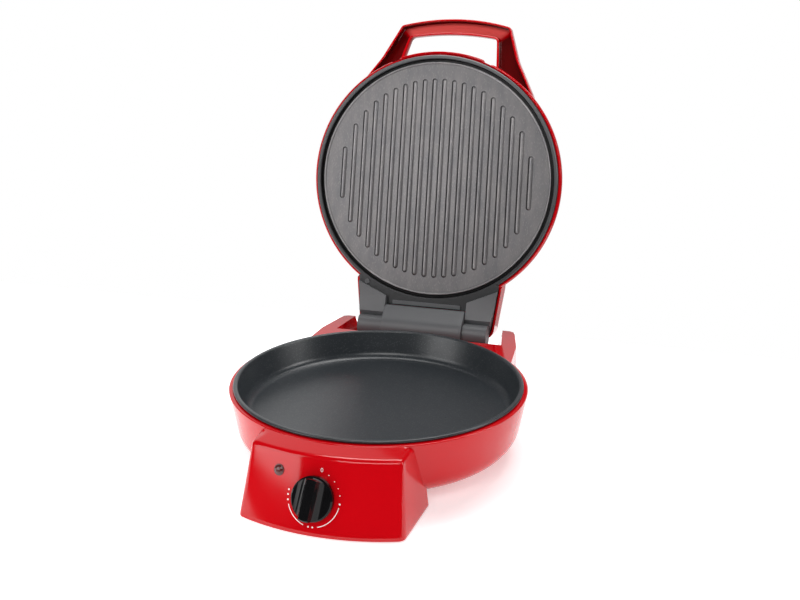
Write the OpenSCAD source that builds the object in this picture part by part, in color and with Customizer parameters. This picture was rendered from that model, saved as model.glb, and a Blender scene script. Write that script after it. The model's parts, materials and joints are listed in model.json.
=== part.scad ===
// Electric pizza maker with a hinged lid, shown open.
// Built round the axis of the pan, with the front of the cooker towards -Y, and
// moved at the end so that the origin is under the middle of its bounding box.

/* [Pan] */
// Outer radius of the rolled rim
pan_rim_r = 160; // [150:1:170]
// Width of the rolled rim
pan_rim_w = 5; // [4:0.5:7]
// Height of the rolled rim
pan_rim_t = 3.1; // [2:0.1:4]
// Depth inside, from the top of the rim to the floor
pan_depth = 32; // [24:1:36]
// Sheet thickness
pan_wall = 1.8; // [1.2:0.1:2.5]
// How much narrower the floor is than the mouth, on the radius
pan_taper = 8; // [4:1:12]

/* [Bowl] */
// Height of the rim above the lower edge of the housings
bowl_h = 72.4; // [68:0.2:80]
// How far the rim stands out beyond the pan
bowl_ledge_w = 4.6; // [3:0.2:7]
// Thickness of the ledge that carries the pan
bowl_ledge_t = 3.5; // [2.5:0.5:5]
// Wall thickness
bowl_wall = 2.5; // [2:0.1:3.5]
// Height of the underside above the lower edge of the housings
bowl_lift = 10; // [8:0.5:12]
// Radius of the rounding between the side and the underside
bowl_corner_r = 28; // [22:1:32]
// Slope of the side, in degrees from upright
bowl_draft = 11.5; // [8:0.5:14]

/* [Front block] */
// How far the foot of the panel stands out beyond the pan rim
block_reach = 50.5; // [46:0.5:56]
// Width at the foot of the panel
block_w = 167.6; // [156:0.4:180]
// Radius of the panel's curve seen from above
panel_r = 234; // [200:2:300]
// Lean of the panel, in degrees from upright
panel_lean = 18.2; // [14:0.2:22]
// Lean of the block's sides, in degrees from upright
side_lean = 7; // [4:0.5:9]
// Angle by which the sides open towards the back
side_flare = 4; // [0:0.5:6]
// How far the block's top lies below the bowl's rim
block_drop = 2.4; // [2:0.2:6]
// Length of the block's sides along the floor
block_len = 73; // [68:1:80]
// Height of the bevel along the panel's top edge
block_bevel = 1.6; // [1:0.2:4]
// Lean of that bevel, in degrees from upright
bevel_lean = 58; // [50:1:65]
// Wall thickness of both housings
housing_wall = 2.5; // [2:0.1:3.2]

/* [Rear block] */
// Width at the back edge
rear_w = 228; // [222:1:236]
// Width where the block leaves the bowl
rear_front_w = 257; // [250:1:264]
// How far the back edge lies behind the hinge axis
rear_reach = 26; // [24:0.5:32]
// How far the raised sides lie below the bowl's rim
ear_drop = 5.9; // [4:0.1:8]
// Width of the trough at the back edge
trough_w = 197; // [193:1:200]
// How far the trough widens on each side towards the bowl
trough_flare = 16.5; // [12:0.5:18]
// How much narrower the trough is at its floor, on each side
trough_draft = 6; // [3:0.5:7]
// Height of the trough's floor above the lower edge
trough_z = 46; // [43:0.5:47]

/* [Hinge] */
// Distance of the hinge axis behind the bowl's rim
hinge_gap = 30.4; // [29:0.2:34]
// Depth of the hinge axis below the bowl's rim
hinge_drop = 6.4; // [5:0.2:8]
// Angle between the closed and the open lid
lid_open = 102; // [95:1:105]
// Radius of the two barrels on the lid
barrel_r = 13; // [11:0.5:14]
// Length of each barrel
barrel_len = 30.7; // [26:0.5:33]
// Gap between a barrel and the middle block
barrel_gap = 0.8; // [0.5:0.1:1.5]
// Width of the middle block
hinge_block_w = 105; // [96:1:108]
// Radius of the middle block's round front
hinge_block_r = 17; // [15:0.5:18]
// Radius of the hinge pins
pin_r = 4; // [3:0.5:5]
// Running clearance of pins and shafts, on the radius
run_gap = 0.05; // [0.02:0.01:0.1]
// How deep each pin sits in the middle block
pin_hold = 24; // [16:1:34]

/* [Lid] */
// Height of the closed lid's underside above the pan
lid_gap = 2.3; // [2:0.1:4]
// How far the red rim stands out beyond the pan's
shell_ledge = 4.3; // [3.5:0.1:6]
// Height of the dome above the lid's underside
dome_h = 69; // [64:1:76]
// Height of the widest line of the shell above the lid's underside
dome_foot = 9; // [7:0.5:11]
// Wall thickness of the shell
shell_wall = 2.5; // [2:0.1:3]
// Width of the tail where it leaves the dome
tail_w = 193; // [188:1:196]
// Width of the tail half way along
tail_mid_w = 184; // [180:1:188]
// Width of the tail at its end
tail_end_w = 172; // [168:1:176]
// Lean of the tail's sides, in degrees
tail_draft = 7.5; // [0:0.5:10]
// How far the tail's end lies behind the hinge axis
tail_over = 6; // [4:0.5:7]
// Height of the tail's top where it leaves the dome
tail_h = 44; // [42:1:50]
// Height of the tail's top at its end
tail_end_h = 37; // [34:1:38]
// Height of the tail's lower edge above the lid's underside
tail_foot = 3; // [3:0.5:6]
// Height of the grey frame's ring
frame_h = 9; // [8:0.5:9]
// Width of the ring's face
frame_w = 4.5; // [4:0.5:6]
// Thickness of the frame's plate between the ring and the hinge
frame_t = 3; // [2.5:0.5:4]
// Height of the ramps above the frame where they begin
ramp_h = 4; // [3:0.5:4]
// Height of the ramps where they meet the barrels
ramp_end_h = 10.5; // [8:0.5:11]
// Height of the strip on the frame
strip_h = 1.7; // [1:0.1:1.8]
// Length of the strip
strip_len = 90; // [80:1:96]
// Width of the strip
strip_w = 5; // [4:0.5:6]

/* [Grill plate] */
// Depth of the plate's face below the frame
plate_sink = 5; // [4:0.5:6]
// Thickness of the plate
plate_t = 3; // [2.5:0.5:4]
// Height of the raised bead at the plate's edge
bead_h = 1.5; // [1:0.5:2]
// Number of ribs
rib_count = 20; // [16:2:22]
// Distance from rib to rib
rib_pitch = 13.08; // [11:0.1:14]
// Width of a rib
rib_w = 5; // [4:0.5:6]
// Height of a rib
rib_h = 2.5; // [2:0.5:3]
// Radius of the circle that the ribs end on
rib_circle_r = 128.7; // [128:0.1:140]

/* [Handle] */
// Width of the grip between its outer corners
grip_w = 152; // [140:1:160]
// Distance of the grip's corners from the middle of the lid
grip_reach = 210; // [200:1:220]
// How far the grip's outer edge bows out
grip_bow = 11; // [8:0.5:14]
// Distance of the handle's roots from each other
root_w = 242; // [236:1:246]
// Distance of the roots in front of the lid's middle
root_reach = 110; // [106:1:114]
// Height of the roots above the lid's underside
root_h = 20; // [18:1:23]
// Rise of the handle, in degrees from the lid's plane
handle_rise = 30.1; // [27:0.1:32]
// How far the arms' outer edges draw in between root and grip
arm_waist = 4.5; // [2:0.5:6]
// Thickness of the handle
handle_t = 15; // [12:0.5:17]
// Wall of the handle's channel
handle_wall = 3; // [2.5:0.5:4]
// Width of the finger gap at the grip
gap_w = 120; // [108:1:124]
// Width of the finger gap at the lid
gap_root_w = 132; // [128:1:136]
// Width of the grip from its outer corners to the gap
grip_band = 19; // [16:0.5:22]
// Radius that the shell is drawn in to between the arms, beyond the frame
front_rim = 1.6; // [1.4:0.1:2]
// Half width of the lip in the finger gap
lip_half = 58; // [50:1:60]

/* [Controls] */
// Radius of the knob
knob_r = 21; // [18:0.5:22]
// Height of the knob
knob_h = 17; // [14:0.5:20]
// Height of the knob's disc
knob_disc_h = 6; // [5:0.5:8]
// Width of the knob's grip bar
knob_bar_w = 9.5; // [8:0.5:12]
// Angle of the bar at rest, clockwise from upright
knob_rest = 8; // [0:0.5:15]
// Gap between the knob and the panel
knob_gap = 0.6; // [0.5:0.1:1]
// Distance of the knob to the left of the panel's middle
knob_off = 3.8; // [-4:0.2:8]
// Height of the knob's axis, measured up the panel
knob_up = 34.8; // [32:0.2:38]
// Radius of the thermostat's shaft
shaft_r = 3; // [2.5:0.5:3.5]
// Radius of the thermostat's threaded neck
neck_r = 5; // [4.5:0.5:6]
// Width of the thermostat's body
stat_w = 30; // [26:1:34]
// Depth of the thermostat's body
stat_d = 17; // [14:1:19]
// Radius of the pilot lens's shank
lens_r = 4.4; // [4:0.1:5]
// Distance of the lens to the left of the panel's middle
lens_off = 42.1; // [38:0.5:48]
// Height of the lens, measured up the panel
lens_up = 55.7; // [52:0.1:56]

/* [Heating] */
// Radius of the heating tubes
tube_r = 3.3; // [2.5:0.1:4]
// Radius of the lower ring
lower_ring_r = 100; // [90:1:115]
// Radius of the upper ring
upper_ring_r = 98; // [90:1:110]
// Angle left open between the ends of a ring
ring_gap = 24; // [20:1:40]
// Sheet thickness of the reflectors
sheet_t = 0.8; // [0.6:0.1:1.2]
// Radius of the flat part of the reflectors
reflector_r = 124; // [118:1:126]
// Distance from a heating tube to its reflector
reflector_gap = 6; // [5:0.5:7]

/* [Feet and cord inlet] */
// How far the feet stand out below the housings
foot_proud = 1.5; // [1:0.5:3]
// Radius of a foot
foot_r = 8; // [6:0.5:9]
// Height of the covers above the lower edge of the housings
cover_lift = 3; // [2.5:0.5:3.5]
// Thickness of the covers
cover_t = 2.5; // [2:0.5:3]
// Radius of the hole for the cord
cord_hole_r = 3.6; // [3:0.1:4]
// Outer radius of the inlet's sleeve
bush_r = 7; // [6:0.5:8]
// Height of the inlet above the lower edge
bush_z = 24; // [20:1:28]
// Distance of the inlet to the right of the middle
bush_off = 60; // [50:1:70]
// Length of the inlet's sleeve
bush_len = 18; // [15:1:20]

/* [Hidden] */
$fn = 96;
// Width of the joints between pieces that lie against each other
fit_gap = 0.3;
// Points along a quarter of a rounded profile
arc_steps = 8;
// Reach of a cutting body past what it cuts
past = 1;
// How much thicker a lead or tube is at a bend
bend_swell = 1.08;
// Turn of a rod about its own axis, which keeps its zero meridian out of the bends
rod_roll = 50;

pan_top = bowl_h + fit_gap + pan_rim_t;
pan_mouth_r = pan_rim_r - pan_rim_w;
pan_floor_r = pan_mouth_r - pan_taper;
pan_floor_z = pan_top - pan_depth;
pan_under_z = pan_floor_z - pan_wall;
bowl_r = pan_rim_r + bowl_ledge_w;
bowl_corner_z = bowl_lift + bowl_corner_r;
bowl_corner_x = bowl_r
    - (bowl_corner_r + (bowl_h - bowl_corner_z) * sin(bowl_draft)) / cos(bowl_draft);
ledge_in_r = pan_mouth_r + pan_wall + 2 * fit_gap;

block_front_y = -(pan_rim_r + block_reach);
panel_end_y = block_front_y + panel_r - sqrt(panel_r * panel_r - block_w * block_w / 4);
block_back_y = panel_end_y + block_len;
block_top = bowl_h - block_drop;
panel_cyl_y = block_front_y + panel_r / cos(panel_lean);

hinge_y = bowl_r + hinge_gap;
hinge_z = bowl_h - hinge_drop;
rear_y = hinge_y + rear_reach;
rear_front_y = bowl_r * 0.68;
ear_z = bowl_h - ear_drop;
block_half = hinge_block_w / 2;
// Furthest point of the middle block from the hinge axis
block_swing_r = hinge_block_r + 11.6;
// Clearance of the lid's pieces round the middle block
swing_gap = 1.2;
barrel_in = block_half + barrel_gap;
barrel_out = barrel_in + barrel_len;

lid_z = pan_top + lid_gap;
shell_r = pan_rim_r + shell_ledge;
tail_y = hinge_y + tail_over;
tail_start_y = bowl_r * 0.8;
tail_mid_y = (tail_start_y + tail_y) / 2;
frame_in_r = pan_rim_r - frame_w;
notch_y = hinge_y - sqrt(pow(block_swing_r + swing_gap, 2) - pow(lid_z - hinge_z, 2));
strip_y = pan_rim_r + 1.5;
plate_r = frame_in_r - 2 * fit_gap;
plate_back = plate_sink + plate_t;
shelf_in_r = frame_in_r - 8;

rise = tan(handle_rise);
handle_deep = handle_t / cos(handle_rise);
grip_top = grip_reach + grip_bow;

// Length of the lower tube's straight ends, and of the pins at the tubes' ends
heater_reach = 38;
heater_pin = 8;
upper_reach = 24;
lower_ring_z = pan_under_z - tube_r * bend_swell - fit_gap;
lower_sheet_z = lower_ring_z - tube_r - reflector_gap - sheet_t;
upper_ring_h = plate_back + tube_r * bend_swell + fit_gap;
upper_sheet_h = upper_ring_h + tube_r + reflector_gap;

// Width of the knob's bevels
knob_edge = 1.5;
knob_front = knob_gap + knob_h;
// Frontmost point of the knob and rearmost point of the open handle
front_y = block_front_y + knob_up * sin(panel_lean) - knob_front * cos(panel_lean)
    - (knob_r - knob_edge) * sin(panel_lean);
open_cos = cos(lid_open);
open_sin = sin(lid_open);
back_y = hinge_y + (-grip_top - hinge_y) * open_cos
    + (lid_z + handle_h(grip_top) + handle_deep - hinge_z) * open_sin;
middle_y = (front_y + back_y) / 2;

foot_front_x = block_w / 2 - 17.8;
foot_rear_x = rear_w / 2 - 16;
foot_places = [
    [-foot_front_x, panel_end_y + 15], [foot_front_x, panel_end_y + 15],
    [-foot_rear_x, rear_y - 16], [foot_rear_x, rear_y - 16]];
front_screws = [[-27, panel_end_y + 12], [27, panel_end_y + 12]];
rear_screws = [[10 - rear_w / 2, rear_y - 50], [rear_w / 2 - 10, rear_y - 50]];
screw_r = 1.6;
screw_head_r = 3.2;
screw_head_h = 2;
screw_len = 12;
boss_r = 4.5;
clip_angles = [30, 150, 270];
post_angles = [35, 145, 215, 325];
post_r = 0.8 * lower_ring_r;

// Openings in the bowl's side: towards the controls, and for the supply lead
window_w = 70;
window_z = 22;
window_h = 28;
rear_window_w = 20;
// Distance from the bowl to the edge of the trough, and length of its sloping front
trough_lead = 3.4;
trough_slope = 13;
// Rounding of the rear block's corners
rear_corner = 10;

// Lower edge of the dome's rim, and thickness of the lip in the finger gap
rim_h = 4;
lip_h = 8;
lip_out = 0.8;
// Bevel along the tail's end, and how far the tail runs into the dome
tail_corner = 9;
tail_root = 40;
// How far the handle's arms run on beyond its roots, and how much they widen there
arm_root = 28;
arm_root_w = 7;
// Distance from the middle at which the finger gap starts to narrow
gap_bend = pan_rim_r - 12;

// Shelf on the frame's ring that the plate rests against
shelf_t = 3;
shelf_top = plate_back + fit_gap + shelf_t;
// Beginning of the ramps, how much later they begin at the middle, and their thickness
ramp_y = tail_start_y + 8;
ramp_skew = 17;
arm_top_h = frame_t + 4;
arm_meet_y = hinge_y - barrel_r - 5;

// Depth behind the panel's outer face at which pieces of the control begin
stat_back = housing_wall + 1.5;
// How deep the knob's shaft reaches into the thermostat and into the knob
shaft_in = 7.5;
shaft_out = 12;
// Spacing of the thermostat's two blades from its middle
blade_off = 8;
// Corner and size of the terminal block, and the height at which leads end on it
block_seat = [14, panel_end_y + 27, cover_lift + cover_t + fit_gap];
block_size = [30, 12, 11];
block_lead_z = block_seat[2] + block_size[2] + fit_gap;
supply_r = 2.4;
control_lead_r = 1.2;
lid_lead_r = 1.5;
// Size of the thermal fuse
fuse_size = [24, 12, 7];
// Flange of the cord's inlet
flange_w = 2.5;
flange_t = 3;

// Place of the screw in sight: how far in along the left ramp's front edge, and how far its
// head keeps from that edge
screw_along = 10.0918;
screw_keep = 0.587;
ramp_edge = [barrel_in - frame_half(ramp_y), ramp_skew];
ramp_way = ramp_edge / norm(ramp_edge);
screw_seat = [frame_half(ramp_y), ramp_y] + ramp_way * screw_along
    + [-ramp_way[1], ramp_way[0]] * (screw_head_r + screw_keep);
// Places of the frame's screws: one in sight beside the left ramp, three in the ring's shelf
visible_screws = [[-screw_seat[0], screw_seat[1]]];
shelf_screws = [for (a = [210, 270, 330]) [cos(a), sin(a)] * (frame_in_r - 4)];

// Height of the handle's lower face above the lid's underside, at a distance from
// the middle of the lid
function handle_h(v) = root_h + (v - root_reach) * rise;

// Points on an arc about (x, y), from angle a to angle b
function arc(x, y, r, a, b, steps = arc_steps) =
    [for (i = [0:steps]) let (t = a + (b - a) * i / steps) [x + r * cos(t), y + r * sin(t)]];

// Radius of the dome at a height above its widest line, for a dome of radius r and
// height h: a superellipse, flat on top and steep at the side
function dome_r(z, r, h) = r * pow(1 - pow(z / h, 2.2), 0.25);

// Side of the dome from its widest line to its top, as points
function dome_side(r, h) =
    [for (i = [0:14]) let (z = h * sin(90 * i / 14)) [i == 14 ? 0 : dome_r(z, r, h), z]];

// The bowl's outer profile, moved in by off, from the middle of the floor to height top
function bowl_side(off, top) = concat(
    [[0, bowl_lift + off]],
    arc(bowl_corner_x, bowl_corner_z, bowl_corner_r - off, -90, -bowl_draft),
    [[bowl_side_r(off, top), top]]);

// Radius of the bowl's side at height z, moved in by off
function bowl_side_r(off, z) = bowl_r - off / cos(bowl_draft) + (z - bowl_h) * tan(bowl_draft);

// Half width of the trough at its edge, at distance y
function trough_half(y) = trough_w / 2 + trough_flare * (rear_y - y) / (rear_y - rear_front_y);

// Puts pieces of the closed lid, drawn at height 0 at its underside, on the open lid
module on_lid() {
    translate([0, hinge_y, hinge_z])
        rotate([-lid_open, 0, 0])
            translate([0, -hinge_y, lid_z - hinge_z])
                children();
}

// Moves everything so that the origin is under the middle of the bounding box
module placed() {
    translate([0, -middle_y, foot_proud]) children();
}

// Puts children on the panel, x to the right and up along the panel's slope
module on_panel(x, up) {
    sag = panel_r - sqrt(panel_r * panel_r - x * x);
    translate([
        x, block_front_y + up * sin(panel_lean) + sag * cos(panel_lean),
        up * cos(panel_lean) - sag * sin(panel_lean)])
        rotate([90 - panel_lean, 0, 0])
            rotate([0, asin(x / panel_r), 0])
                children();
}

// A rod between two points
module rod(a, b, r) {
    d = b - a;
    len = norm(d);
    translate(a)
        rotate([0, acos(d[2] / len), atan2(d[1], d[0])])
            rotate(rod_roll) cylinder(h = len, r = r, $fn = 24);
}

// Direction from point i of a line to point j
function heading(p, i, j) = (p[j] - p[i]) / norm(p[j] - p[i]);

// The rounded corner of a lead at point i: a ball whose poles and zero meridian lie away from
// the rods on either side
module lead_corner(p, i, r) {
    out = -heading(p, i, i - 1) - heading(p, i, i + 1);
    x = out / norm(out);
    normal = cross(heading(p, i, i - 1), heading(p, i, i + 1));
    z = normal / norm(normal);
    y = cross(z, x);
    multmatrix([for (k = [0:2]) [x[k], y[k], z[k], p[i][k]]])
        sphere(r = r * bend_swell, $fn = 24);
}

// A lead along points, with round corners
module lead(p, r) {
    for (i = [0:len(p) - 2]) rod(p[i], p[i + 1], r);
    for (i = [1:len(p) - 2]) lead_corner(p, i, r);
}

// The bowl as a solid, up to height top
module bowl_solid(off, top) {
    rotate_extrude($fn = 180)
        polygon(concat(bowl_side(off, top), [[0, top]]));
}

module base_shell() {
    ledge_z = bowl_h - bowl_ledge_t;
    side_in = bowl_side(bowl_wall, ledge_z);
    backwards = [for (i = [len(side_in) - 1:-1:0]) side_in[i]];
    color("firebrick")
        placed() difference() {
            rotate_extrude($fn = 180)
                polygon(concat(
                    bowl_side(0, bowl_h - past),
                    [[bowl_r - past, bowl_h], [ledge_in_r, bowl_h], [ledge_in_r, ledge_z]],
                    backwards));
            front_window();
            rear_window();
        }
}

// Opening in the bowl's side towards the control housing
module front_window() {
    translate([-window_w / 2, -bowl_r - past, window_z]) cube([window_w, 40, window_h]);
}

// Opening in the bowl's side for the supply lead
module rear_window() {
    w = rear_window_w;
    translate([bush_off - w / 2, bowl_r - 55, bush_z - w / 2]) cube([w, 60, w]);
}

// Everything on one side of a plane through the block's side at the floor, moved in
// by off
module side_limit(off) {
    translate([block_w / 2, panel_end_y, 0])
        rotate([0, 0, -side_flare])
            rotate([0, -side_lean, 0])
                translate([-300 - off, -150, -50])
                    cube([300, 400, 200]);
}

// The front block as a solid, with its walls moved in by off
module block_solid(off) {
    intersection() {
        translate([-150, -300, -past * sign(off)])
            cube([300, 300 + block_back_y - off, block_top - off + past * sign(off)]);
        translate([0, panel_cyl_y, 0])
            rotate([-panel_lean, 0, 0])
                translate([0, 0, -150])
                    cylinder(h = 400, r = panel_r - off, $fn = 360);
        side_limit(off);
        mirror([1, 0, 0]) side_limit(off);
        bevel_limit(off);
    }
}

// Cuts the bevel along the top edge of the panel, with the panel's own curve
module bevel_limit(off) {
    r = panel_r * cos(panel_lean) / cos(bevel_lean);
    edge_z = block_top - block_bevel;
    edge_y = block_front_y + edge_z * tan(panel_lean);
    translate([0, edge_y + r * cos(bevel_lean), edge_z - r * sin(bevel_lean)])
        rotate([-bevel_lean, 0, 0])
            cylinder(h = 1600, r = r - off, center = true, $fn = 360);
}

module control_housing() {
    color("firebrick")
        placed() difference() {
            union() {
                difference() {
                    block_solid(0);
                    block_solid(housing_wall);
                }
                intersection() {
                    block_solid(housing_wall / 2);
                    for (p = front_screws)
                        translate([p[0], p[1], cover_lift + cover_t + fit_gap])
                            cylinder(h = 100, r = boss_r, $fn = 32);
                }
            }
            bowl_solid(0, bowl_h + past);
            for (p = front_screws)
                translate([p[0], p[1], 0]) cylinder(h = screw_len + 6, r = screw_r + run_gap);
            on_panel(-knob_off, knob_up)
                translate([0, 0, -2 * housing_wall])
                    cylinder(h = 4 * housing_wall, r = neck_r + fit_gap);
            on_panel(-lens_off, lens_up)
                translate([0, 0, -2 * housing_wall])
                    cylinder(h = 4 * housing_wall, r = lens_r + fit_gap / 2);
        }
}

// Outline of the rear block from above, moved in by off
module rear_outline(off) {
    half_front = rear_front_w / 2 - off;
    half_back = rear_w / 2 - off;
    mid = (rear_front_y + rear_y) / 2;
    corner = rear_corner;
    polygon([
        [-half_front, rear_front_y + off], [half_front, rear_front_y + off],
        [half_front - 3, mid],
        [half_back + 2, rear_y - corner - off], [half_back - 1, rear_y - 3 - off],
        [half_back - 6, rear_y - off],
        [6 - half_back, rear_y - off], [1 - half_back, rear_y - 3 - off],
        [-half_back - 2, rear_y - corner - off],
        [3 - half_front, mid]]);
}

// The trough between the raised sides: floor, sloping front and leaning sides
module trough() {
    slope_y = bowl_r + trough_lead;
    intersection() {
        hull() {
            trough_level(trough_z, trough_draft);
            trough_level(ear_z, 0);
            trough_level(bowl_h + 20, 0);
        }
        translate([-150, 0, 0])
            rotate([90, 0, 90])
                linear_extrude(300)
                    polygon([
                        [slope_y - 2, ear_z + 3], [slope_y, ear_z],
                        [slope_y + trough_slope, trough_z],
                        [rear_y + 5, trough_z], [rear_y + 5, bowl_h + 10],
                        [slope_y - 2, bowl_h + 10]]);
    }
}

// Outline of the trough at its edges and of the bowl, moved out by off
module trough_outline(off) {
    front = rear_front_y - 5;
    back = rear_y + 5;
    polygon([
        [-trough_half(front) - off, front], [trough_half(front) + off, front],
        [trough_half(back) + off, back], [-trough_half(back) - off, back]]);
}

// Thin slice of the trough at height z, narrower by draft on each side
module trough_level(z, draft) {
    front = rear_front_y;
    back = rear_y + 4;
    translate([0, 0, z])
        linear_extrude(0.01)
            polygon([
                [-trough_half(front) + draft, front], [trough_half(front) - draft, front],
                [trough_half(back) - draft, back], [-trough_half(back) + draft, back]]);
}

module rear_housing() {
    color("firebrick")
        placed() difference() {
            linear_extrude(ear_z) rear_outline(0);
            difference() {
                translate([0, 0, -past]) {
                    linear_extrude(trough_z - housing_wall + past)
                        rear_outline(housing_wall);
                    linear_extrude(ear_z - housing_wall + past)
                        difference() {
                            rear_outline(housing_wall);
                            trough_outline(housing_wall);
                        }
                }
                for (p = rear_screws)
                    translate([p[0], p[1], cover_lift + cover_t + fit_gap])
                        cylinder(h = 60, r = boss_r, $fn = 32);
            }
            bowl_solid(0, bowl_h + past);
            trough();
            for (p = rear_screws)
                translate([p[0], p[1], 0]) cylinder(h = screw_len + 6, r = screw_r + run_gap);
            translate([bush_off, rear_y + past, bush_z])
                rotate([90, 0, 0])
                    cylinder(h = 2 * housing_wall + past, r = bush_r + run_gap);
        }
}

// Plate that closes a housing from below, with holes for screws and seats for feet
module cover(screws) {
    difference() {
        translate([0, 0, cover_lift]) children();
        for (p = screws)
            translate([p[0], p[1], 0]) cylinder(h = 20, r = screw_r + fit_gap);
    }
}

module front_cover() {
    color("dimgray")
        placed() cover(front_screws)
            intersection() {
                translate([0, 0, -cover_lift]) block_solid(housing_wall + fit_gap);
                translate([-150, -300, 0]) cube([300, 300, cover_t]);
            }
}

module rear_cover() {
    color("dimgray")
        placed() cover(rear_screws)
            linear_extrude(cover_t) rear_outline(housing_wall + fit_gap);
}

module feet() {
    color("black")
        placed() for (p = foot_places)
            translate([p[0], p[1], -foot_proud])
                cylinder(h = foot_proud + cover_lift, r = foot_r, $fn = 48);
}

module cover_screws() {
    color("silver")
        placed() for (p = concat(front_screws, rear_screws))
            translate([p[0], p[1], cover_lift - screw_head_h]) {
                cylinder(h = screw_head_h, r = screw_head_r, $fn = 32);
                cylinder(h = screw_head_h + screw_len, r = screw_r, $fn = 32);
            }
}

module cooking_pan() {
    bend = 10;
    slope = atan2(pan_taper, pan_depth);
    floor_edge = arc(pan_floor_r - bend, pan_floor_z + bend, bend, -90, -slope, 5);
    under_edge = arc(pan_floor_r - bend, pan_floor_z + bend, bend + pan_wall, -slope, -90, 5);
    color("#26282a")
        placed() rotate_extrude($fn = 180)
            polygon(concat(
                [[0, pan_floor_z]], floor_edge,
                [[pan_mouth_r, pan_top - 1], [pan_mouth_r + 1, pan_top],
                 [pan_rim_r - 1.2, pan_top], [pan_rim_r, pan_top - 1.2],
                 [pan_rim_r, bowl_h + fit_gap], [pan_mouth_r + pan_wall, bowl_h + fit_gap]],
                under_edge, [[0, pan_under_z]]));
}

// Round heating tube with its two ends led out towards -Y
module heating_ring(r, reach) {
    half = ring_gap / 2;
    rotate([0, 0, -90 + half])
        rotate_extrude(angle = 360 - ring_gap, $fn = 120)
            translate([r, 0]) circle(r = tube_r, $fn = 32);
    for (s = [-1, 1])
        translate([s * r * sin(half), -r * cos(half), 0]) {
            sphere(r = tube_r * bend_swell, $fn = 32);
            rotate([90, 0, 0]) cylinder(h = reach, r = tube_r, $fn = 32);
            rotate([90, 0, 0]) cylinder(h = reach + heater_pin, r = 1.5, $fn = 24);
        }
}

// Shallow dish with a raised rim, drawn from height 0 upwards
module reflector() {
    rim_w = 12;
    rim_up = 5;
    rotate_extrude($fn = 120)
        polygon([
            [0, 0], [reflector_r, 0], [reflector_r + rim_w, rim_up],
            [reflector_r + rim_w, rim_up + sheet_t], [reflector_r - 0.3, sheet_t],
            [0, sheet_t]]);
}

// Blocks that hold a heating ring off its reflector
module clips(r, height) {
    for (a = clip_angles)
        rotate([0, 0, a + 90])
            translate([r - 5, -3, 0]) cube([10, 6, height]);
}

module lower_heater() {
    color("dimgray")
        placed() translate([0, 0, lower_ring_z]) heating_ring(lower_ring_r, heater_reach);
}

module lower_reflector() {
    color("silver")
        placed() translate([0, 0, lower_sheet_z]) reflector();
}

module lower_clips() {
    color("silver")
        placed() translate([0, 0, lower_sheet_z + sheet_t])
            clips(lower_ring_r, reflector_gap - fit_gap);
}

module reflector_posts() {
    floor_z = bowl_lift + bowl_wall;
    color("silver")
        placed() for (a = post_angles)
            rotate([0, 0, a])
                translate([post_r, 0, floor_z])
                    cylinder(h = lower_sheet_z - floor_z, r = 4, $fn = 32);
}

module thermostat() {
    color("gainsboro")
        placed() on_panel(-knob_off, knob_up)
            difference() {
                union() {
                    translate([-stat_w / 2, -stat_w / 2, -stat_back - stat_d])
                        cube([stat_w, stat_w, stat_d]);
                    translate([0, 0, -stat_back]) cylinder(h = stat_back + 3, r = neck_r);
                    for (s = [-1, 1])
                        translate([s * blade_off, 0, -stat_back - stat_d - 3])
                            cube([1.2, 6, 8], center = true);
                }
                translate([0, 0, -stat_back - 8]) cylinder(h = 40, r = shaft_r + run_gap);
            }
}

module thermostat_nut() {
    color("silver")
        placed() on_panel(-knob_off, knob_up)
            difference() {
                translate([0, 0, 0.2]) cylinder(h = 2.2, r = neck_r + 3, $fn = 6);
                translate([0, 0, -past]) cylinder(h = 5, r = neck_r + run_gap);
            }
}

module thermostat_shaft() {
    color("silver")
        placed() on_panel(-knob_off, knob_up)
            translate([0, 0, -stat_back - shaft_in])
                cylinder(h = stat_back + shaft_in + knob_gap + shaft_out, r = shaft_r);
}

module knob() {
    foot = knob_disc_h - knob_edge;
    top_r = knob_r - knob_edge;
    color("#101112")
        placed() on_panel(-knob_off, knob_up)
            translate([0, 0, knob_gap]) rotate([0, 0, -knob_rest])
                difference() {
                    intersection() {
                        rotate_extrude($fn = 120)
                            polygon([
                                [0, 0], [knob_r, 0], [knob_r, foot], [top_r, knob_disc_h],
                                [top_r, knob_h - knob_edge], [top_r - knob_edge, knob_h],
                                [0, knob_h]]);
                        translate([0, knob_r + past, 0])
                            rotate([90, 0, 0])
                                linear_extrude(2 * knob_r + 2 * past)
                                    knob_section();
                    }
                    translate([0, 0, -past]) cylinder(h = past + 4, r = neck_r + 5);
                    translate([0, 0, -past])
                        cylinder(h = past + shaft_out + past, r = shaft_r + run_gap / 2);
                }
}

// Section across the knob's grip bar: a disc with a bar between two scooped sides
module knob_section() {
    half = knob_bar_w / 2;
    scoop = knob_h - knob_disc_h;
    polygon(concat(
        [[-knob_r - past, 0], [knob_r + past, 0], [knob_r + past, knob_disc_h]],
        [for (a = [0:15:75])
            [half + 1 + (scoop - 1) * (1 - sin(a)), knob_disc_h + scoop * 0.8 * (1 - cos(a))]],
        [[half, knob_h], [-half, knob_h]],
        [for (a = [75:-15:0])
            [-half - 1 - (scoop - 1) * (1 - sin(a)), knob_disc_h + scoop * 0.8 * (1 - cos(a))]],
        [[-knob_r - past, knob_disc_h]]));
}

module pilot_lens() {
    color("darkred")
        placed() on_panel(-lens_off, lens_up)
            rotate_extrude($fn = 64)
                polygon([
                    [2.8, -7], [lens_r, -7], [lens_r, 0.3], [lens_r + 1.1, 0.3],
                    [lens_r + 1.1, 0.9], [lens_r - 0.2, 1.4], [lens_r * 0.5, 2.1], [0, 2.3],
                    [0, 0.6], [2.8, 0.2]]);
}

module pilot_lamp() {
    color("orange")
        placed() on_panel(-lens_off, lens_up) {
            translate([0, 0, -14]) cylinder(h = 13.6, r = 2.5, $fn = 32);
            translate([0, 0, -18]) cylinder(h = 4, r = 4, $fn = 32);
        }
}

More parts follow.
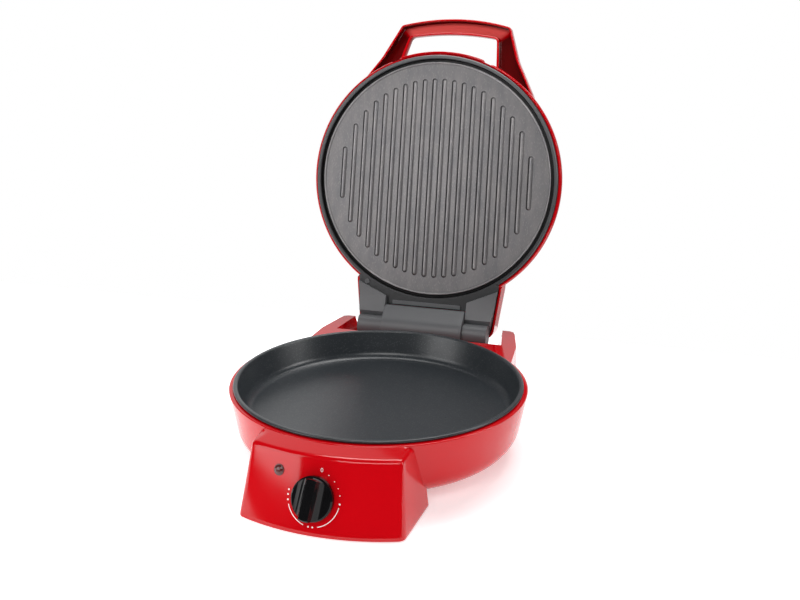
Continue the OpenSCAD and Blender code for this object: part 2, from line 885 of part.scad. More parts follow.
module terminal_block() {
    color("ivory")
        placed() translate(block_seat)
            difference() {
                cube(block_size);
                for (i = [0:2])
                    translate([5 + 10 * i, -past, 5])
                        rotate([-90, 0, 0]) cylinder(h = 20, r = 1.8, $fn = 24);
            }
}

module supply_lead() {
    pass_z = window_z + supply_r * bend_swell + fit_gap;
    end_x = block_seat[0] + block_size[0] / 2;
    end_y = block_seat[1] + block_size[1] / 2;
    color("black")
        placed() lead([
            [bush_off, rear_y - bush_len - fit_gap, bush_z],
            [end_x, end_y, pass_z],
            [end_x, end_y, block_lead_z]], supply_r);
}

// Point behind the panel, at x and up on it and as deep as stated
function behind_panel(x, up, deep) = [
    x, block_front_y + up * sin(panel_lean) + deep * cos(panel_lean),
    up * cos(panel_lean) - deep * sin(panel_lean)];

module control_leads() {
    blade_end = stat_back + stat_d + 7 + 1.6;
    legs_x = -lower_ring_r * sin(ring_gap / 2);
    legs_y = -lower_ring_r * cos(ring_gap / 2) - heater_reach - heater_pin - fit_gap;
    color("white")
        placed() {
            lead([[block_seat[0] + 5, block_seat[1] + 6, block_lead_z],
                  [block_seat[0] + 5, block_seat[1] + 6, 28],
                  behind_panel(blade_off - knob_off, knob_up, blade_end + 4),
                  behind_panel(blade_off - knob_off, knob_up, blade_end - 1.3)],
                 control_lead_r);
            lead([[legs_x, legs_y, lower_ring_z], [legs_x + 1, legs_y - 11, lower_ring_z - 2],
                  behind_panel(-blade_off - knob_off, knob_up, blade_end + 5),
                  behind_panel(-blade_off - knob_off, knob_up, blade_end - 1.3)],
                 control_lead_r);
        }
}

module cord_bush() {
    color("black")
        placed() translate([bush_off, rear_y, bush_z])
            rotate([-90, 0, 0])
                difference() {
                    union() {
                        translate([0, 0, -bush_len]) cylinder(h = bush_len + flange_t, r = bush_r);
                        cylinder(h = flange_t, r = bush_r + flange_w);
                    }
                    translate([0, 0, -bush_len - past])
                        cylinder(h = bush_len + flange_t + 2 * past, r = cord_hole_r);
                }
}

// Middle part of the hinge, as a section across the axis
module hinge_block() {
    r = hinge_block_r;
    neck = r - 3;
    color("#55585a")
        placed() difference() {
            translate([-block_half, hinge_y, hinge_z])
                rotate([90, 0, 90])
                    linear_extrude(hinge_block_w)
                        polygon(concat(
                            arc(0, 0, r, 115, 205),
                            [[-neck, trough_z - hinge_z], [neck, trough_z - hinge_z],
                             [neck + 1, 0], [block_swing_r * 0.55, block_swing_r * 0.55],
                             [block_swing_r * 0.42, block_swing_r * 0.905],
                             [block_swing_r * 0.3, block_swing_r * 0.905]]));
            for (s = [0, 1])
                mirror([s, 0, 0])
                    translate([block_half - pin_hold, hinge_y, hinge_z])
                        rotate([0, 90, 0]) cylinder(h = pin_hold + past, r = pin_r + run_gap);
        }
}

module hinge_pins() {
    color("silver")
        placed() for (s = [0, 1])
            mirror([s, 0, 0])
                translate([block_half - pin_hold + fit_gap, hinge_y, hinge_z])
                    rotate([0, 90, 0])
                        cylinder(h = pin_hold + barrel_gap + barrel_len - 2 * fit_gap, r = pin_r);
}

// The dome as a solid: outer surface moved in by off
module dome_solid(off) {
    r = shell_r - off;
    low = off > 0 ? -past : rim_h;
    side = dome_side(r, dome_h - dome_foot - off);
    rotate_extrude($fn = 180)
        polygon(concat(
            [[0, low], [r - 1.5, low]],
            [for (p = side) [p[0], p[1] + dome_foot]]));
}

// Half width of the tail at its lower edge, at distance y
function tail_half(y) = y < tail_mid_y
    ? tail_w / 2 - (tail_w - tail_mid_w) / 2 * (y - tail_start_y) / (tail_mid_y - tail_start_y)
    : tail_mid_w / 2 - (tail_mid_w - tail_end_w) / 2 * (y - tail_mid_y) / (tail_y - tail_mid_y);

// Everything inside one side of the tail, between the distances a and b, moved in by off
module tail_side(off, a, b) {
    translate([tail_half(a), a, 0])
        rotate([0, 0, atan((tail_half(a) - tail_half(b)) / (b - a))])
            rotate([0, -tail_draft, 0])
                translate([-300 - off, -150, -60])
                    cube([300, 400, 300]);
}

// The tail as a solid, with its walls moved in by off
module tail_solid(off) {
    low = off > 0 ? -past : tail_foot;
    back = tail_y - off;
    end_h = tail_end_h - off;
    intersection() {
        translate([-150, 0, 0])
            rotate([90, 0, 90])
                linear_extrude(300)
                    polygon([
                        [tail_start_y - tail_root, low], [back, low],
                        [back, end_h - tail_corner],
                        [back - tail_corner / 3, end_h - tail_corner / 3],
                        [back - tail_corner, end_h],
                        [tail_start_y, tail_h - off], [tail_start_y - tail_root, tail_h - off]]);
        tail_side(off, tail_start_y, tail_mid_y);
        mirror([1, 0, 0]) tail_side(off, tail_start_y, tail_mid_y);
        tail_side(off, tail_mid_y, tail_y);
        mirror([1, 0, 0]) tail_side(off, tail_mid_y, tail_y);
    }
}

// The room that the middle block of the hinge needs under the closed lid
module swing_room(gap) {
    translate([-block_half - barrel_gap, hinge_y, hinge_z - lid_z])
        rotate([0, 90, 0])
            cylinder(h = hinge_block_w + 2 * barrel_gap, r = block_swing_r + gap, $fn = 120);
}

module lid_shell() {
    rim_in = pan_rim_r + 0.4;
    drawn_in = pan_rim_r + front_rim;
    half = gap_root_w / 2;
    color("firebrick")
        placed() on_lid() {
            difference() {
                union() {
                    dome_solid(0);
                    tail_solid(0);
                }
                intersection() {
                    dome_solid(shell_wall);
                    translate([0, 0, dome_foot]) cylinder(h = 100, r = shell_r);
                }
                translate([0, 0, -past]) cylinder(h = dome_foot + past, r = rim_in, $fn = 180);
                tail_solid(shell_wall);
                swing_room(swing_gap);
                intersection() {
                    difference() {
                        cylinder(h = 40, r = shell_r + 10, $fn = 120);
                        translate([0, 0, -past]) cylinder(h = 42, r = drawn_in, $fn = 180);
                    }
                    translate([-half, -shell_r - 5, -past]) cube([gap_root_w, 60, 40]);
                }
            }
            intersection() {
                difference() {
                    translate([0, 0, rim_h])
                        cylinder(h = lip_h, r = shell_r + lip_out, $fn = 180);
                    cylinder(h = 20, r = drawn_in, $fn = 180);
                }
                translate([-lip_half, -shell_r - 5, 0]) cube([2 * lip_half, 60, 40]);
            }
        }
}

// Outline of the whole handle from above, moved in by off, with its grip towards +Y
module handle_outline(off) {
    half = grip_w / 2 - off;
    root = root_w / 2 - off;
    waist = (grip_w + root_w) / 4 - arm_waist - off;
    middle = (grip_reach + root_reach) / 2;
    bow_r = (half * half + grip_bow * grip_bow) / (2 * grip_bow);
    spread = asin(half / bow_r);
    polygon(concat(
        [[-root - arm_root_w, root_reach - arm_root], [root + arm_root_w, root_reach - arm_root],
         [root, root_reach], [waist, middle], [half + 1, grip_reach - 8 - off]],
        arc(0, grip_top - bow_r - off, bow_r, 90 - spread, 90 + spread, 10),
        [[-half - 1, grip_reach - 8 - off], [-waist, middle], [-root, root_reach]]));
}

// Outline of the finger gap, moved out by off
module gap_outline(off) {
    half = gap_w / 2 + off;
    root = gap_root_w / 2 + off;
    top = grip_reach - grip_band + off;
    bow = grip_bow / 2;
    bow_r = (half * half + bow * bow) / (2 * bow);
    spread = asin(half / bow_r);
    polygon(concat(
        [[-root, root_reach - arm_root - 2], [root, root_reach - arm_root - 2], [root, gap_bend]],
        arc(0, top + bow - bow_r, bow_r, 90 - spread, 90 + spread, 10),
        [[-root, gap_bend]]));
}

// Slanting layer of the handle between two depths behind its lower face
module handle_layer(from, to) {
    low = 60;
    high = grip_top + 10;
    translate([-150, 0, 0])
        rotate([90, 0, 90])
            linear_extrude(300)
                polygon([
                    [low, handle_h(low) + from], [high, handle_h(high) + from],
                    [high, handle_h(high) + to], [low, handle_h(low) + to]]);
}

module lid_handle() {
    color("firebrick")
        placed() on_lid()
            mirror([0, 1, 0])
                difference() {
                    intersection() {
                        linear_extrude(200) handle_outline(0);
                        handle_layer(0, handle_deep);
                    }
                    linear_extrude(200) gap_outline(0);
                    intersection() {
                        linear_extrude(200)
                            difference() {
                                handle_outline(handle_wall);
                                gap_outline(handle_wall);
                            }
                        handle_layer(-past, handle_deep - handle_wall);
                    }
                    mirror([0, 1, 0]) dome_solid(0);
                    cylinder(h = dome_foot, r = shell_r + 3);
                }
}

// Half width of what lies between the tail's sides, at distance y
function frame_half(y) = tail_half(y) - shell_wall - 1.2;

module lid_frame() {
    reach = hinge_y - barrel_r - 12;
    color("#4d5052")
        placed() on_lid()
            difference() {
                union() {
                    rotate_extrude($fn = 180)
                        polygon([
                            [frame_in_r, 0.8], [frame_in_r + 0.8, 0], [pan_rim_r - 1.2, 0],
                            [pan_rim_r, 1.2], [pan_rim_r, frame_h], [frame_in_r + 2, frame_h],
                            [frame_in_r + 2, shelf_top], [shelf_in_r, shelf_top],
                            [shelf_in_r, plate_back + fit_gap], [frame_in_r, plate_back + fit_gap]]);
                    difference() {
                        linear_extrude(frame_t)
                            polygon([
                                [-frame_half(tail_start_y), tail_start_y],
                                [frame_half(tail_start_y), tail_start_y],
                                [frame_half(tail_mid_y), tail_mid_y],
                                [frame_half(reach), reach], [barrel_in, reach],
                                [barrel_in, notch_y], [-barrel_in, notch_y], [-barrel_in, reach],
                                [-frame_half(reach), reach],
                                [-frame_half(tail_mid_y), tail_mid_y]]);
                        translate([0, 0, -past]) cylinder(h = 20, r = frame_in_r + 1, $fn = 180);
                    }
                }
                for (p = visible_screws)
                    translate([p[0], p[1], -past]) cylinder(h = 30, r = screw_r + run_gap);
            }
}

module frame_screws() {
    head_up = 1.2;
    color("#2a2b2c")
        placed() on_lid() {
            for (p = visible_screws)
                translate([p[0], p[1], -head_up]) {
                    cylinder(h = head_up, r = screw_head_r, $fn = 32);
                    cylinder(h = screw_len, r = screw_r, $fn = 32);
                }
            for (p = shelf_screws)
                translate([p[0], p[1], shelf_top])
                    cylinder(h = screw_head_h, r = screw_head_r, $fn = 32);
        }
}

// Grey ramp with the barrel that turns on the hinge pin, on the right side
module hinge_arm() {
    axis_h = hinge_z - lid_z;
    start = ramp_y;
    meet = arm_meet_y;
    difference() {
        union() {
            intersection() {
                translate([0, 0, -50])
                    linear_extrude(100)
                        polygon([
                            [barrel_in, start + ramp_skew], [frame_half(start), start],
                            [frame_half(tail_mid_y), tail_mid_y],
                            [frame_half(hinge_y + 3), hinge_y + 3], [barrel_in, hinge_y + 3]]);
                rotate([90, 0, 90])
                    linear_extrude(150)
                        polygon([
                            [start - 5, -fit_gap], [start - 5, -ramp_h],
                            [start + ramp_skew, -ramp_h - 0.5], [meet, -ramp_end_h],
                            [hinge_y - 5, axis_h + barrel_r - 3], [hinge_y + 3, axis_h],
                            [hinge_y + 3, arm_top_h], [meet - 7 + fit_gap, arm_top_h],
                            [meet - 7 + fit_gap, -fit_gap]]);
            }
            translate([barrel_in, hinge_y, axis_h])
                rotate([0, 90, 0]) cylinder(h = barrel_len, r = barrel_r);
        }
        translate([barrel_in - past, hinge_y, axis_h])
            rotate([0, 90, 0]) cylinder(h = barrel_len + 2 * past, r = pin_r + run_gap);
    }
}

module hinge_arm_right() {
    color("#5a5d5f") placed() on_lid() hinge_arm();
}

module hinge_arm_left() {
    color("#5a5d5f") placed() on_lid() mirror([1, 0, 0]) hinge_arm();
}

module frame_strip() {
    color("#5a5d5f")
        placed() on_lid()
            translate([-strip_len / 2, strip_y, -strip_h])
                cube([strip_len, strip_w, strip_h]);
}

module grill_plate() {
    color("#3c3e40")
        placed() on_lid() {
            rotate_extrude($fn = 180)
                polygon([
                    [0, plate_sink], [plate_r - 5, plate_sink], [plate_r - 4, plate_sink - bead_h],
                    [plate_r - 2.8, plate_sink - bead_h], [plate_r - 2, plate_sink + 1],
                    [plate_r, plate_sink + 1], [plate_r, plate_back], [0, plate_back]]);
            for (i = [0:rib_count - 1]) grill_rib((i - (rib_count - 1) / 2) * rib_pitch);
        }
}

// One rib with round ends, at distance x from the middle
module grill_rib(x) {
    half = sqrt(rib_circle_r * rib_circle_r - x * x) - rib_w / 2;
    translate([x, 0, plate_sink - rib_h])
        linear_extrude(rib_h + plate_t / 2) {
            translate([-rib_w / 2, -half]) square([rib_w, 2 * half]);
            for (s = [-1, 1]) translate([0, s * half]) circle(r = rib_w / 2, $fn = 32);
        }
}

module upper_heater() {
    color("dimgray")
        placed() on_lid()
            translate([0, 0, upper_ring_h])
                rotate([0, 0, 180]) heating_ring(upper_ring_r, upper_reach);
}

module upper_reflector() {
    color("silver")
        placed() on_lid()
            translate([0, 0, upper_sheet_h + sheet_t]) mirror([0, 0, 1]) reflector();
}

module upper_clips() {
    color("silver")
        placed() on_lid()
            translate([0, 0, upper_sheet_h])
                mirror([0, 0, 1]) clips(upper_ring_r, reflector_gap - fit_gap);
}

module thermal_fuse() {
    color("ivory")
        placed() on_lid()
            translate([-fuse_size[0] / 2, 0.6 * upper_ring_r, plate_back + fit_gap])
                cube(fuse_size);
}

module lid_leads() {
    end_x = upper_ring_r * sin(ring_gap / 2);
    end_y = upper_ring_r * cos(ring_gap / 2) + upper_reach + heater_pin + fit_gap;
    arm_x = (barrel_in + barrel_out) / 2;
    arm_top = arm_top_h + lid_lead_r * bend_swell + fit_gap;
    color("white")
        placed() on_lid()
            for (s = [-1, 1])
                lead([[s * end_x, end_y, upper_ring_h],
                      [s * arm_x / 2, end_y + 30, shelf_top + 2 * lid_lead_r + 1],
                      [s * arm_x, hinge_y - 20, arm_top],
                      [s * arm_x, hinge_y - 6, arm_top]], lid_lead_r);
}

base_shell();
control_housing();
rear_housing();
front_cover();
rear_cover();
feet();
cooking_pan();
lower_heater();
lower_reflector();
lower_clips();
reflector_posts();
thermostat();
thermostat_nut();
pilot_lens();
pilot_lamp();
terminal_block();
supply_lead();
control_leads();
cord_bush();
hinge_block();
hinge_pins();
cover_screws();
lid_shell();
lid_handle();
lid_frame();
hinge_arm_left();
hinge_arm_right();
frame_strip();
grill_plate();
upper_heater();
upper_reflector();
upper_clips();
thermal_fuse();
lid_leads();
frame_screws();
knob();
thermostat_shaft();
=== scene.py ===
import json
import math

import bmesh
import bpy
import numpy as np
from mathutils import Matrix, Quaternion, Vector


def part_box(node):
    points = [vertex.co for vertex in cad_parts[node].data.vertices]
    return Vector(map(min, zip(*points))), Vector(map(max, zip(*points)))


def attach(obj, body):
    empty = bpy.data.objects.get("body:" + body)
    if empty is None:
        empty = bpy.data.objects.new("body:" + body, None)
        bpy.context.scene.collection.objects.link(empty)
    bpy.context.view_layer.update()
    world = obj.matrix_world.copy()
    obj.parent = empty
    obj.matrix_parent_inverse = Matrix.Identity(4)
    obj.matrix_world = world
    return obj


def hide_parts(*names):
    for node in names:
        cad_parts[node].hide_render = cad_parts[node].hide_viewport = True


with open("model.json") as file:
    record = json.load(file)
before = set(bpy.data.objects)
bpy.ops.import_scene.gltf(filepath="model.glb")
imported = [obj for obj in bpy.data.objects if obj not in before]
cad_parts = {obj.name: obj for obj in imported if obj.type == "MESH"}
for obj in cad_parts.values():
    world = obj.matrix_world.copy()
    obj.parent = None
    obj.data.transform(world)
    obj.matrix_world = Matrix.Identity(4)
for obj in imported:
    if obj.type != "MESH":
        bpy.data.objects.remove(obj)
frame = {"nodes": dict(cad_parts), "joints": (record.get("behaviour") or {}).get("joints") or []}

bl_info = {
    "name": "Cooker with hinged lid",
    "version": (1, 0, 0),
    "blender": (4, 5, 0),
    "location": "3D View > Sidebar > Cooker",
    "description": "Makes the skins, finishes and stage of a round electric cooker",
    "category": "Add Mesh",
}

MM = 0.001
LID_JOINT = next(j for j in frame["joints"] if j["name"] == "lid_hinge")
PIVOT = np.array(LID_JOINT["pos_m"]) / MM
OPEN = math.radians(LID_JOINT["range_deg"][1])
COS, SIN = math.cos(OPEN), math.sin(OPEN)
PAN_BOX = [np.array(corner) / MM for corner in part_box("cooking_pan")]
AXIS_Y = (PAN_BOX[0][1] + PAN_BOX[1][1]) / 2
FOOT_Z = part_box("control_housing")[0][2] / MM
PAN_TOP = PAN_BOX[1][2] - FOOT_Z
PAN_R = PAN_BOX[1][0]
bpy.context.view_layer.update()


# Sizes and colours


def length(name, description, default, unit="mm"):
    """A size in millimetres, as a property."""
    return bpy.props.FloatProperty(
        name=name, description=description + ", in " + unit, default=default)


def angle(name, description, default):
    """An angle in degrees, as a property."""
    return length(name, description, default, "degrees")


def colour(name, description, default):
    """A linear colour, as a property."""
    return bpy.props.FloatVectorProperty(
        name=name, description=description, default=default, size=3, subtype="COLOR", min=0, max=1)


class BowlSizes(bpy.types.PropertyGroup):
    rim_r: length("Rim radius", "Outer radius at the rim", 164.6)
    rim_z: length("Rim height", "Height of the rim", 72.4)
    floor_z: length("Floor height", "Height of the underside", 10)
    corner_r: length("Corner", "Rounding between side and floor", 28)
    wall: length("Wall", "Thickness of the wall", 2.5)
    draft: angle("Slope", "Slope from upright", 11.5)
    pan_floor_z: length("Pan floor", "Height of the pan's floor", 43.8)
    pan_floor_r: length("Pan floor radius", "Radius of the pan's floor", 147)
    pan_mouth_r: length("Pan mouth radius", "Radius of the pan's mouth", 155)


class PanelSizes(bpy.types.PropertyGroup):
    front_y: length("Reach", "From the bowl's middle to the panel's foot", 210.5)
    radius: length("Curve", "Radius seen from above", 234)
    lean: angle("Lean", "Lean from upright", 18.2)
    width: length("Width", "Width at the panel's foot", 167.6)
    side_lean: angle("Side lean", "Lean of the block's sides", 7)
    flare: angle("Flare", "Opening of the sides to the back", 4)
    top_z: length("Top", "Height of the block", 70)
    top_rise: length("Top rise", "Rise of the top towards the bowl", 1.8)
    back_y: length("Back", "From the bowl's middle to the block's back", 122)
    corner_r: length("Corner", "Rounding of the upright edges", 8.5)
    edge_r: length("Edge", "Rounding of the top edge", 3.8)
    wall: length("Wall", "Thickness of the wall", 2.5)
    knob_x: length("Knob place", "Knob to the right of the middle", -3.8)
    knob_up: length("Knob height", "Height of the knob up the panel", 34.8)
    lens_x: length("Lens place", "Lens to the right of the middle", -42.1)
    lens_up: length("Lens height", "Height of the lens up the panel", 55.7)
    dial_r: length("Dial radius", "Radius of the ring of marks", 26.2)


class LidSizes(bpy.types.PropertyGroup):
    gap: length("Gap", "Gap above the pan when closed", 2.3)
    rim_r: length("Rim radius", "Outer radius of the dome", 164.3)
    height: length("Height", "Height of the dome", 69)
    foot: length("Widest line", "Height of the widest line", 9)
    rim_low: length("Rim", "Height of the rim's lower edge", 4)
    wall: length("Wall", "Thickness of the shell", 2.5)
    front_r: length("Front radius", "Radius between the handle's arms", 161.6)
    tail_back: length("Tail reach", "From the middle to the tail's end", 201)
    tail_top: length("Tail height", "Height of the tail at the dome", 44)
    tail_end: length("Tail end height", "Height of the tail at its end", 37)
    tail_draft: angle("Tail slope", "Lean of the tail's sides", 0.4)
    notch_half: length("Notch", "Half width of the hinge's room", 54)
    notch_up: length("Notch height", "Height of the hinge's room", 18)
    lip_half: length("Lip", "Half width of the lip", 58)


class HandleSizes(bpy.types.PropertyGroup):
    grip_half: length("Grip", "Half width at the grip's corners", 76)
    reach: length("Reach", "From the middle to the grip's corners", 210)
    bow: length("Bow", "Bow of the grip's outer edge", 11)
    root_half: length("Roots", "Half distance between the roots", 121)
    root_reach: length("Root reach", "From the middle out to the roots", 110)
    root_h: length("Root height", "Height of the roots", 20)
    rise: angle("Rise", "Rise from the lid's plane", 30.1)
    waist: length("Waist", "Drawing in of the arms half way", 4.5)
    deep: length("Depth", "Depth of the channel", 17.3)
    wall: length("Wall", "Wall of the channel", 3)
    gap_half: length("Gap", "Half width of the gap at the grip", 60)
    gap_root: length("Gap root", "Half width of the gap at the lid", 66)
    band: length("Band", "Width of the grip at a corner", 19)


class PlateSizes(bpy.types.PropertyGroup):
    sink: length("Depth", "Depth of the face in the frame", 5)
    edge_r: length("Radius", "Radius of the plate", 154.9)
    thick: length("Thickness", "Thickness of the plate", 3)
    ribs: bpy.props.IntProperty(name="Ribs", description="Number of ribs", default=20)
    pitch: length("Pitch", "Distance from rib to rib", 13.08)
    rib_w: length("Rib width", "Width of a rib", 5)
    rib_h: length("Rib height", "Height of a rib", 2.5)
    circle_r: length("Circle", "Radius of the ribs' circle", 128.7)


class FinishColours(bpy.types.PropertyGroup):
    shell: colour("Shell", "Glossy plastic of the shells", (0.53, 0.0005, 0.004))
    grey: colour("Grey plastic", "Satin plastic of frame and hinge", (0.105, 0.107, 0.112))
    plate: colour("Grill plate", "Coating of the ribbed plate", (0.3, 0.289, 0.294))
    pan: colour("Pan", "Coating of the pan", (0.022, 0.026, 0.03))
    knob: colour("Knob", "Gloss plastic of the knob", (0.004, 0.004, 0.0045))
    marks: colour("Marks", "Print of the dial's marks", (0.85, 0.85, 0.85))


# Mesh making

STRAIGHT = 0.01  # the turn of a corner, in radians, under which it needs no arc


def far(vectors):
    """Lengths of vectors, with their last axis kept."""
    return np.linalg.norm(vectors, axis=-1, keepdims=True)


def rounded(points, radii, steps=5):
    """An open line whose corners are arcs: each arc of radius r leaves its corner's two sides
    r tan(turn / 2) from the corner, and its points turn evenly from one to the other. Points
    may have leading rows, which are rounded side by side."""
    p = np.asarray(points, float)
    line = [p[..., :1, :]]
    share = np.linspace(0, 1, steps + 1)[:, None]
    for i in range(1, p.shape[-2] - 1):
        corner = p[..., i, :]
        before, after = p[..., i - 1, :] - corner, p[..., i + 1, :] - corner
        a, b = before / far(before), after / far(after)
        turn = np.pi - np.arccos(np.clip((a * b).sum(-1, keepdims=True), -1, 1))
        if radii[i] <= 0 or np.all(turn < STRAIGHT):
            line.append(p[..., i : i + 1, :])
            continue
        turn = np.maximum(turn, STRAIGHT)
        reach = np.minimum(radii[i] * np.tan(turn / 2), 0.49 * np.minimum(far(before), far(after)))
        middle = (a + b) / far(a + b)
        centre = corner + middle * reach / np.sin(turn / 2)
        start, end = (corner + a * reach - centre), (corner + b * reach - centre)
        t = turn[..., None, :]
        arc = (np.sin((1 - share) * t) * start[..., None, :] + np.sin(share * t) * end[..., None, :])
        line.append(arc / np.sin(t) + centre[..., None, :])
    line.append(p[..., -1:, :])
    return np.concatenate(line, axis=-2)


def grid_part(points, wrap_rows=False, wrap_columns=False):
    """A grid of points, and the corner numbers of the four-sided faces between neighbours."""
    points = np.asarray(points, float)
    rows, columns = points.shape[:2]
    r = np.arange(rows if wrap_rows else rows - 1)[:, None]
    c = np.arange(columns if wrap_columns else columns - 1)[None, :]
    r2, c2 = (r + 1) % rows, (c + 1) % columns
    corners = [r * columns + c, r * columns + c2, r2 * columns + c2, r2 * columns + c]
    return points.reshape(-1, 3), np.stack(corners, axis=-1).reshape(-1, 4)


def cap_part(ring):
    """Faces from a closed ring of points to its middle."""
    middle = np.repeat(ring.mean(0)[None], len(ring), axis=0)
    return grid_part(np.stack([ring, middle]), wrap_columns=True)


def add_painted_shading(mesh, values):
    """Gives each point its painted shading value, from which a finish paints shade, or on the handle
    a reflection, into its colour.
    """
    crease = mesh.attributes.new("crease", "FLOAT", "POINT")
    crease.data.foreach_set("value", values.astype(np.float32))


def new_object(name, data):
    """An object of the scene."""
    made = bpy.data.objects.new(name, data)
    bpy.context.scene.collection.objects.link(made)
    return made


def shaded(name, mesh, finish, sharp):
    """The smooth object of a mesh, with its finish, in place of one made before."""
    old = bpy.data.objects.get(name)
    if old:
        bpy.data.objects.remove(old)
    mesh.shade_smooth()
    mesh.set_sharp_from_angle(angle=math.radians(sharp))
    mesh.materials.clear()
    mesh.materials.append(made_finish(finish))
    return new_object(name, mesh)


def make_piece(name, parts, body, finish, replaces=(), sharp=40, crease=None):
    """Joins parts, merges points that coincide, turns faces outwards, and puts the mesh, in
    metres, on its body."""
    starts = np.cumsum([0] + [len(p) for p, _ in parts[:-1]])
    points = np.concatenate([p for p, _ in parts]) * MM
    faces = np.concatenate([f + s for (_, f), s in zip(parts, starts)])
    mesh = bpy.data.meshes.new(name)
    mesh.from_pydata(points.tolist(), [], faces.tolist())
    if crease is not None:
        add_painted_shading(mesh, np.concatenate(crease))
    tidy = bmesh.new()
    tidy.from_mesh(mesh)
    bmesh.ops.remove_doubles(tidy, verts=tidy.verts, dist=2e-6)
    bmesh.ops.dissolve_degenerate(tidy, edges=tidy.edges, dist=1e-7)
    bmesh.ops.recalc_face_normals(tidy, faces=tidy.faces)
    tidy.to_mesh(mesh)
    tidy.free()
    if not len(mesh.polygons):
        raise RuntimeError(name + " has no faces")
    piece = shaded(name, mesh, finish, sharp)
    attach(piece, body)
    if replaces:
        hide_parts(*replaces)


def eased(name, node, body, finish, width, segments=3, crease=None):
    """A copy of a solid with its edges eased: triangles merged, flat faces joined, and edges
    that turn by more than a limit rounded by a bevel of the stated width in millimetres."""
    near, flat, limit, sharp = 5e-6, 0.3, 28, 32
    mesh = bpy.data.meshes.new(name)
    tidy = bmesh.new()
    tidy.from_mesh(frame["nodes"][node].data)
    bmesh.ops.remove_doubles(tidy, verts=tidy.verts, dist=near)
    bmesh.ops.dissolve_degenerate(tidy, edges=tidy.edges, dist=near)
    bmesh.ops.dissolve_limit(
        tidy, angle_limit=math.radians(flat), verts=tidy.verts, edges=tidy.edges)
    tidy.to_mesh(mesh)
    tidy.free()
    if "custom_normal" in mesh.attributes:
        mesh.attributes.remove(mesh.attributes["custom_normal"])
    if crease:
        at = np.empty(len(mesh.vertices) * 3)
        mesh.vertices.foreach_get("co", at)
        add_painted_shading(mesh, crease(at.reshape(-1, 3) / MM))
    piece = shaded(name, mesh, finish, sharp)
    bevel = piece.modifiers.new("Eased edges", "BEVEL")
    bevel.width = width * MM
    bevel.segments = segments
    bevel.limit_method = "ANGLE"
    bevel.angle_limit = math.radians(limit)
    bevel.harden_normals = True
    bevel.use_clamp_overlap = True
    bevel.miter_outer = "MITER_ARC"
    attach(piece, body)
    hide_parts(node)


# Places


def on_base(points):
    """(x, y, z) measured from the bowl's axis and the housings' lower edge."""
    return np.asarray(points, float) + [0, AXIS_Y, FOOT_Z]


def on_lid(points):
    """(across, out, up) on the closed lid, out from its middle towards the grip and up from its
    underside, turned open about the hinge: y and z turn by the opening angle about the pivot."""
    p = np.asarray(points, float)
    gap = bpy.context.scene.cooker_lid.gap
    y = AXIS_Y - p[..., 1] - PIVOT[1]
    z = FOOT_Z + PAN_TOP + gap + p[..., 2] - PIVOT[2]
    return np.stack([p[..., 0], PIVOT[1] + y * COS + z * SIN, PIVOT[2] - y * SIN + z * COS], axis=-1)


def off_lid(points):
    """The reverse of on_lid."""
    p = np.asarray(points, float)
    y, z = p[..., 1] - PIVOT[1], p[..., 2] - PIVOT[2]
    gap = bpy.context.scene.cooker_lid.gap
    return np.stack([p[..., 0], AXIS_Y - PIVOT[1] - (y * COS - z * SIN),
                     y * SIN + z * COS + PIVOT[2] - FOOT_Z - PAN_TOP - gap], axis=-1)


def painted_ring_shade(points):
    """Painted shade of the frame's ring: rises from its rim to the foot of its inner wall."""
    wall_r, start, deep = 157, 0.5, 3
    at = off_lid(points)
    r = np.hypot(at[..., 0], at[..., 1])
    return np.where(r < wall_r, np.clip((at[..., 2] - start) / deep, 0, 1), 0)


def on_panel(x, up, out):
    """Point on the leaning, curved panel: the panel sags back by R - sqrt(R2 - x2) across its
    slope, and out is measured along its normal."""
    s = bpy.context.scene.cooker_panel
    x, up, out = np.broadcast_arrays(np.asarray(x, float), up, out)
    lean = math.radians(s.lean)
    sag = s.radius - np.sqrt(s.radius**2 - x**2)
    turn = np.arcsin(x / s.radius)
    back = sag - out * np.cos(turn)
    across = x + out * np.sin(turn)
    y = -s.front_y + up * math.sin(lean) + back * math.cos(lean)
    z = up * math.cos(lean) - back * math.sin(lean)
    return on_base(np.stack([across, y, z], axis=-1))


def turned(profile, place=on_base, steps=360, shape=None):
    """Surface of revolution: point (r, h) of the profile goes to (r cos t, r sin t, h), where
    shape may change r after t. Ends on the axis meet in one point."""
    t = np.linspace(0, 2 * np.pi, steps, endpoint=False)[:, None]
    r, h = profile.T
    if shape:
        r = shape(r, t)
    ring = np.stack([r * np.cos(t), r * np.sin(t), h + 0 * t], axis=-1)
    return grid_part(place(ring), wrap_rows=True)


# Finishes


def new_material(name):
    """A node material and its tree, or no tree where the material was made before."""
    name += "_finish"
    old = bpy.data.materials.get(name)
    if old:
        return old, None
    material = bpy.data.materials.new(name)
    material.use_nodes = True
    return material, material.node_tree


def wire(tree, made, inputs):
    """Sets a node's sockets, by name or number: to a value, or to another node's output."""
    for key, value in inputs.items():
        if isinstance(value, bpy.types.NodeSocket):
            tree.links.new(value, made.inputs[key])
        else:
            made.inputs[key].default_value = value


def new_node(tree, kind, inputs=None, **settings):
    """A new node with its settings and sockets set."""
    made = tree.nodes.new(kind)
    for key, value in settings.items():
        setattr(made, key, value)
    wire(tree, made, inputs or {})
    return made


def noise(tree, where, size, detail, rough):
    """Value of a noise of the stated size."""
    return new_node(tree, "ShaderNodeTexNoise", {
        "Vector": where, "Scale": size, "Detail": detail, "Roughness": rough}).outputs["Fac"]


def ranged(tree, value, old=(0.0, 1.0), new=(0.0, 1.0)):
    """Value brought from one range to another, and held at its ends."""
    return new_node(tree, "ShaderNodeMapRange", {
        "Value": value, "From Min": old[0], "From Max": old[1], "To Min": new[0],
        "To Max": new[1]}).outputs["Result"]


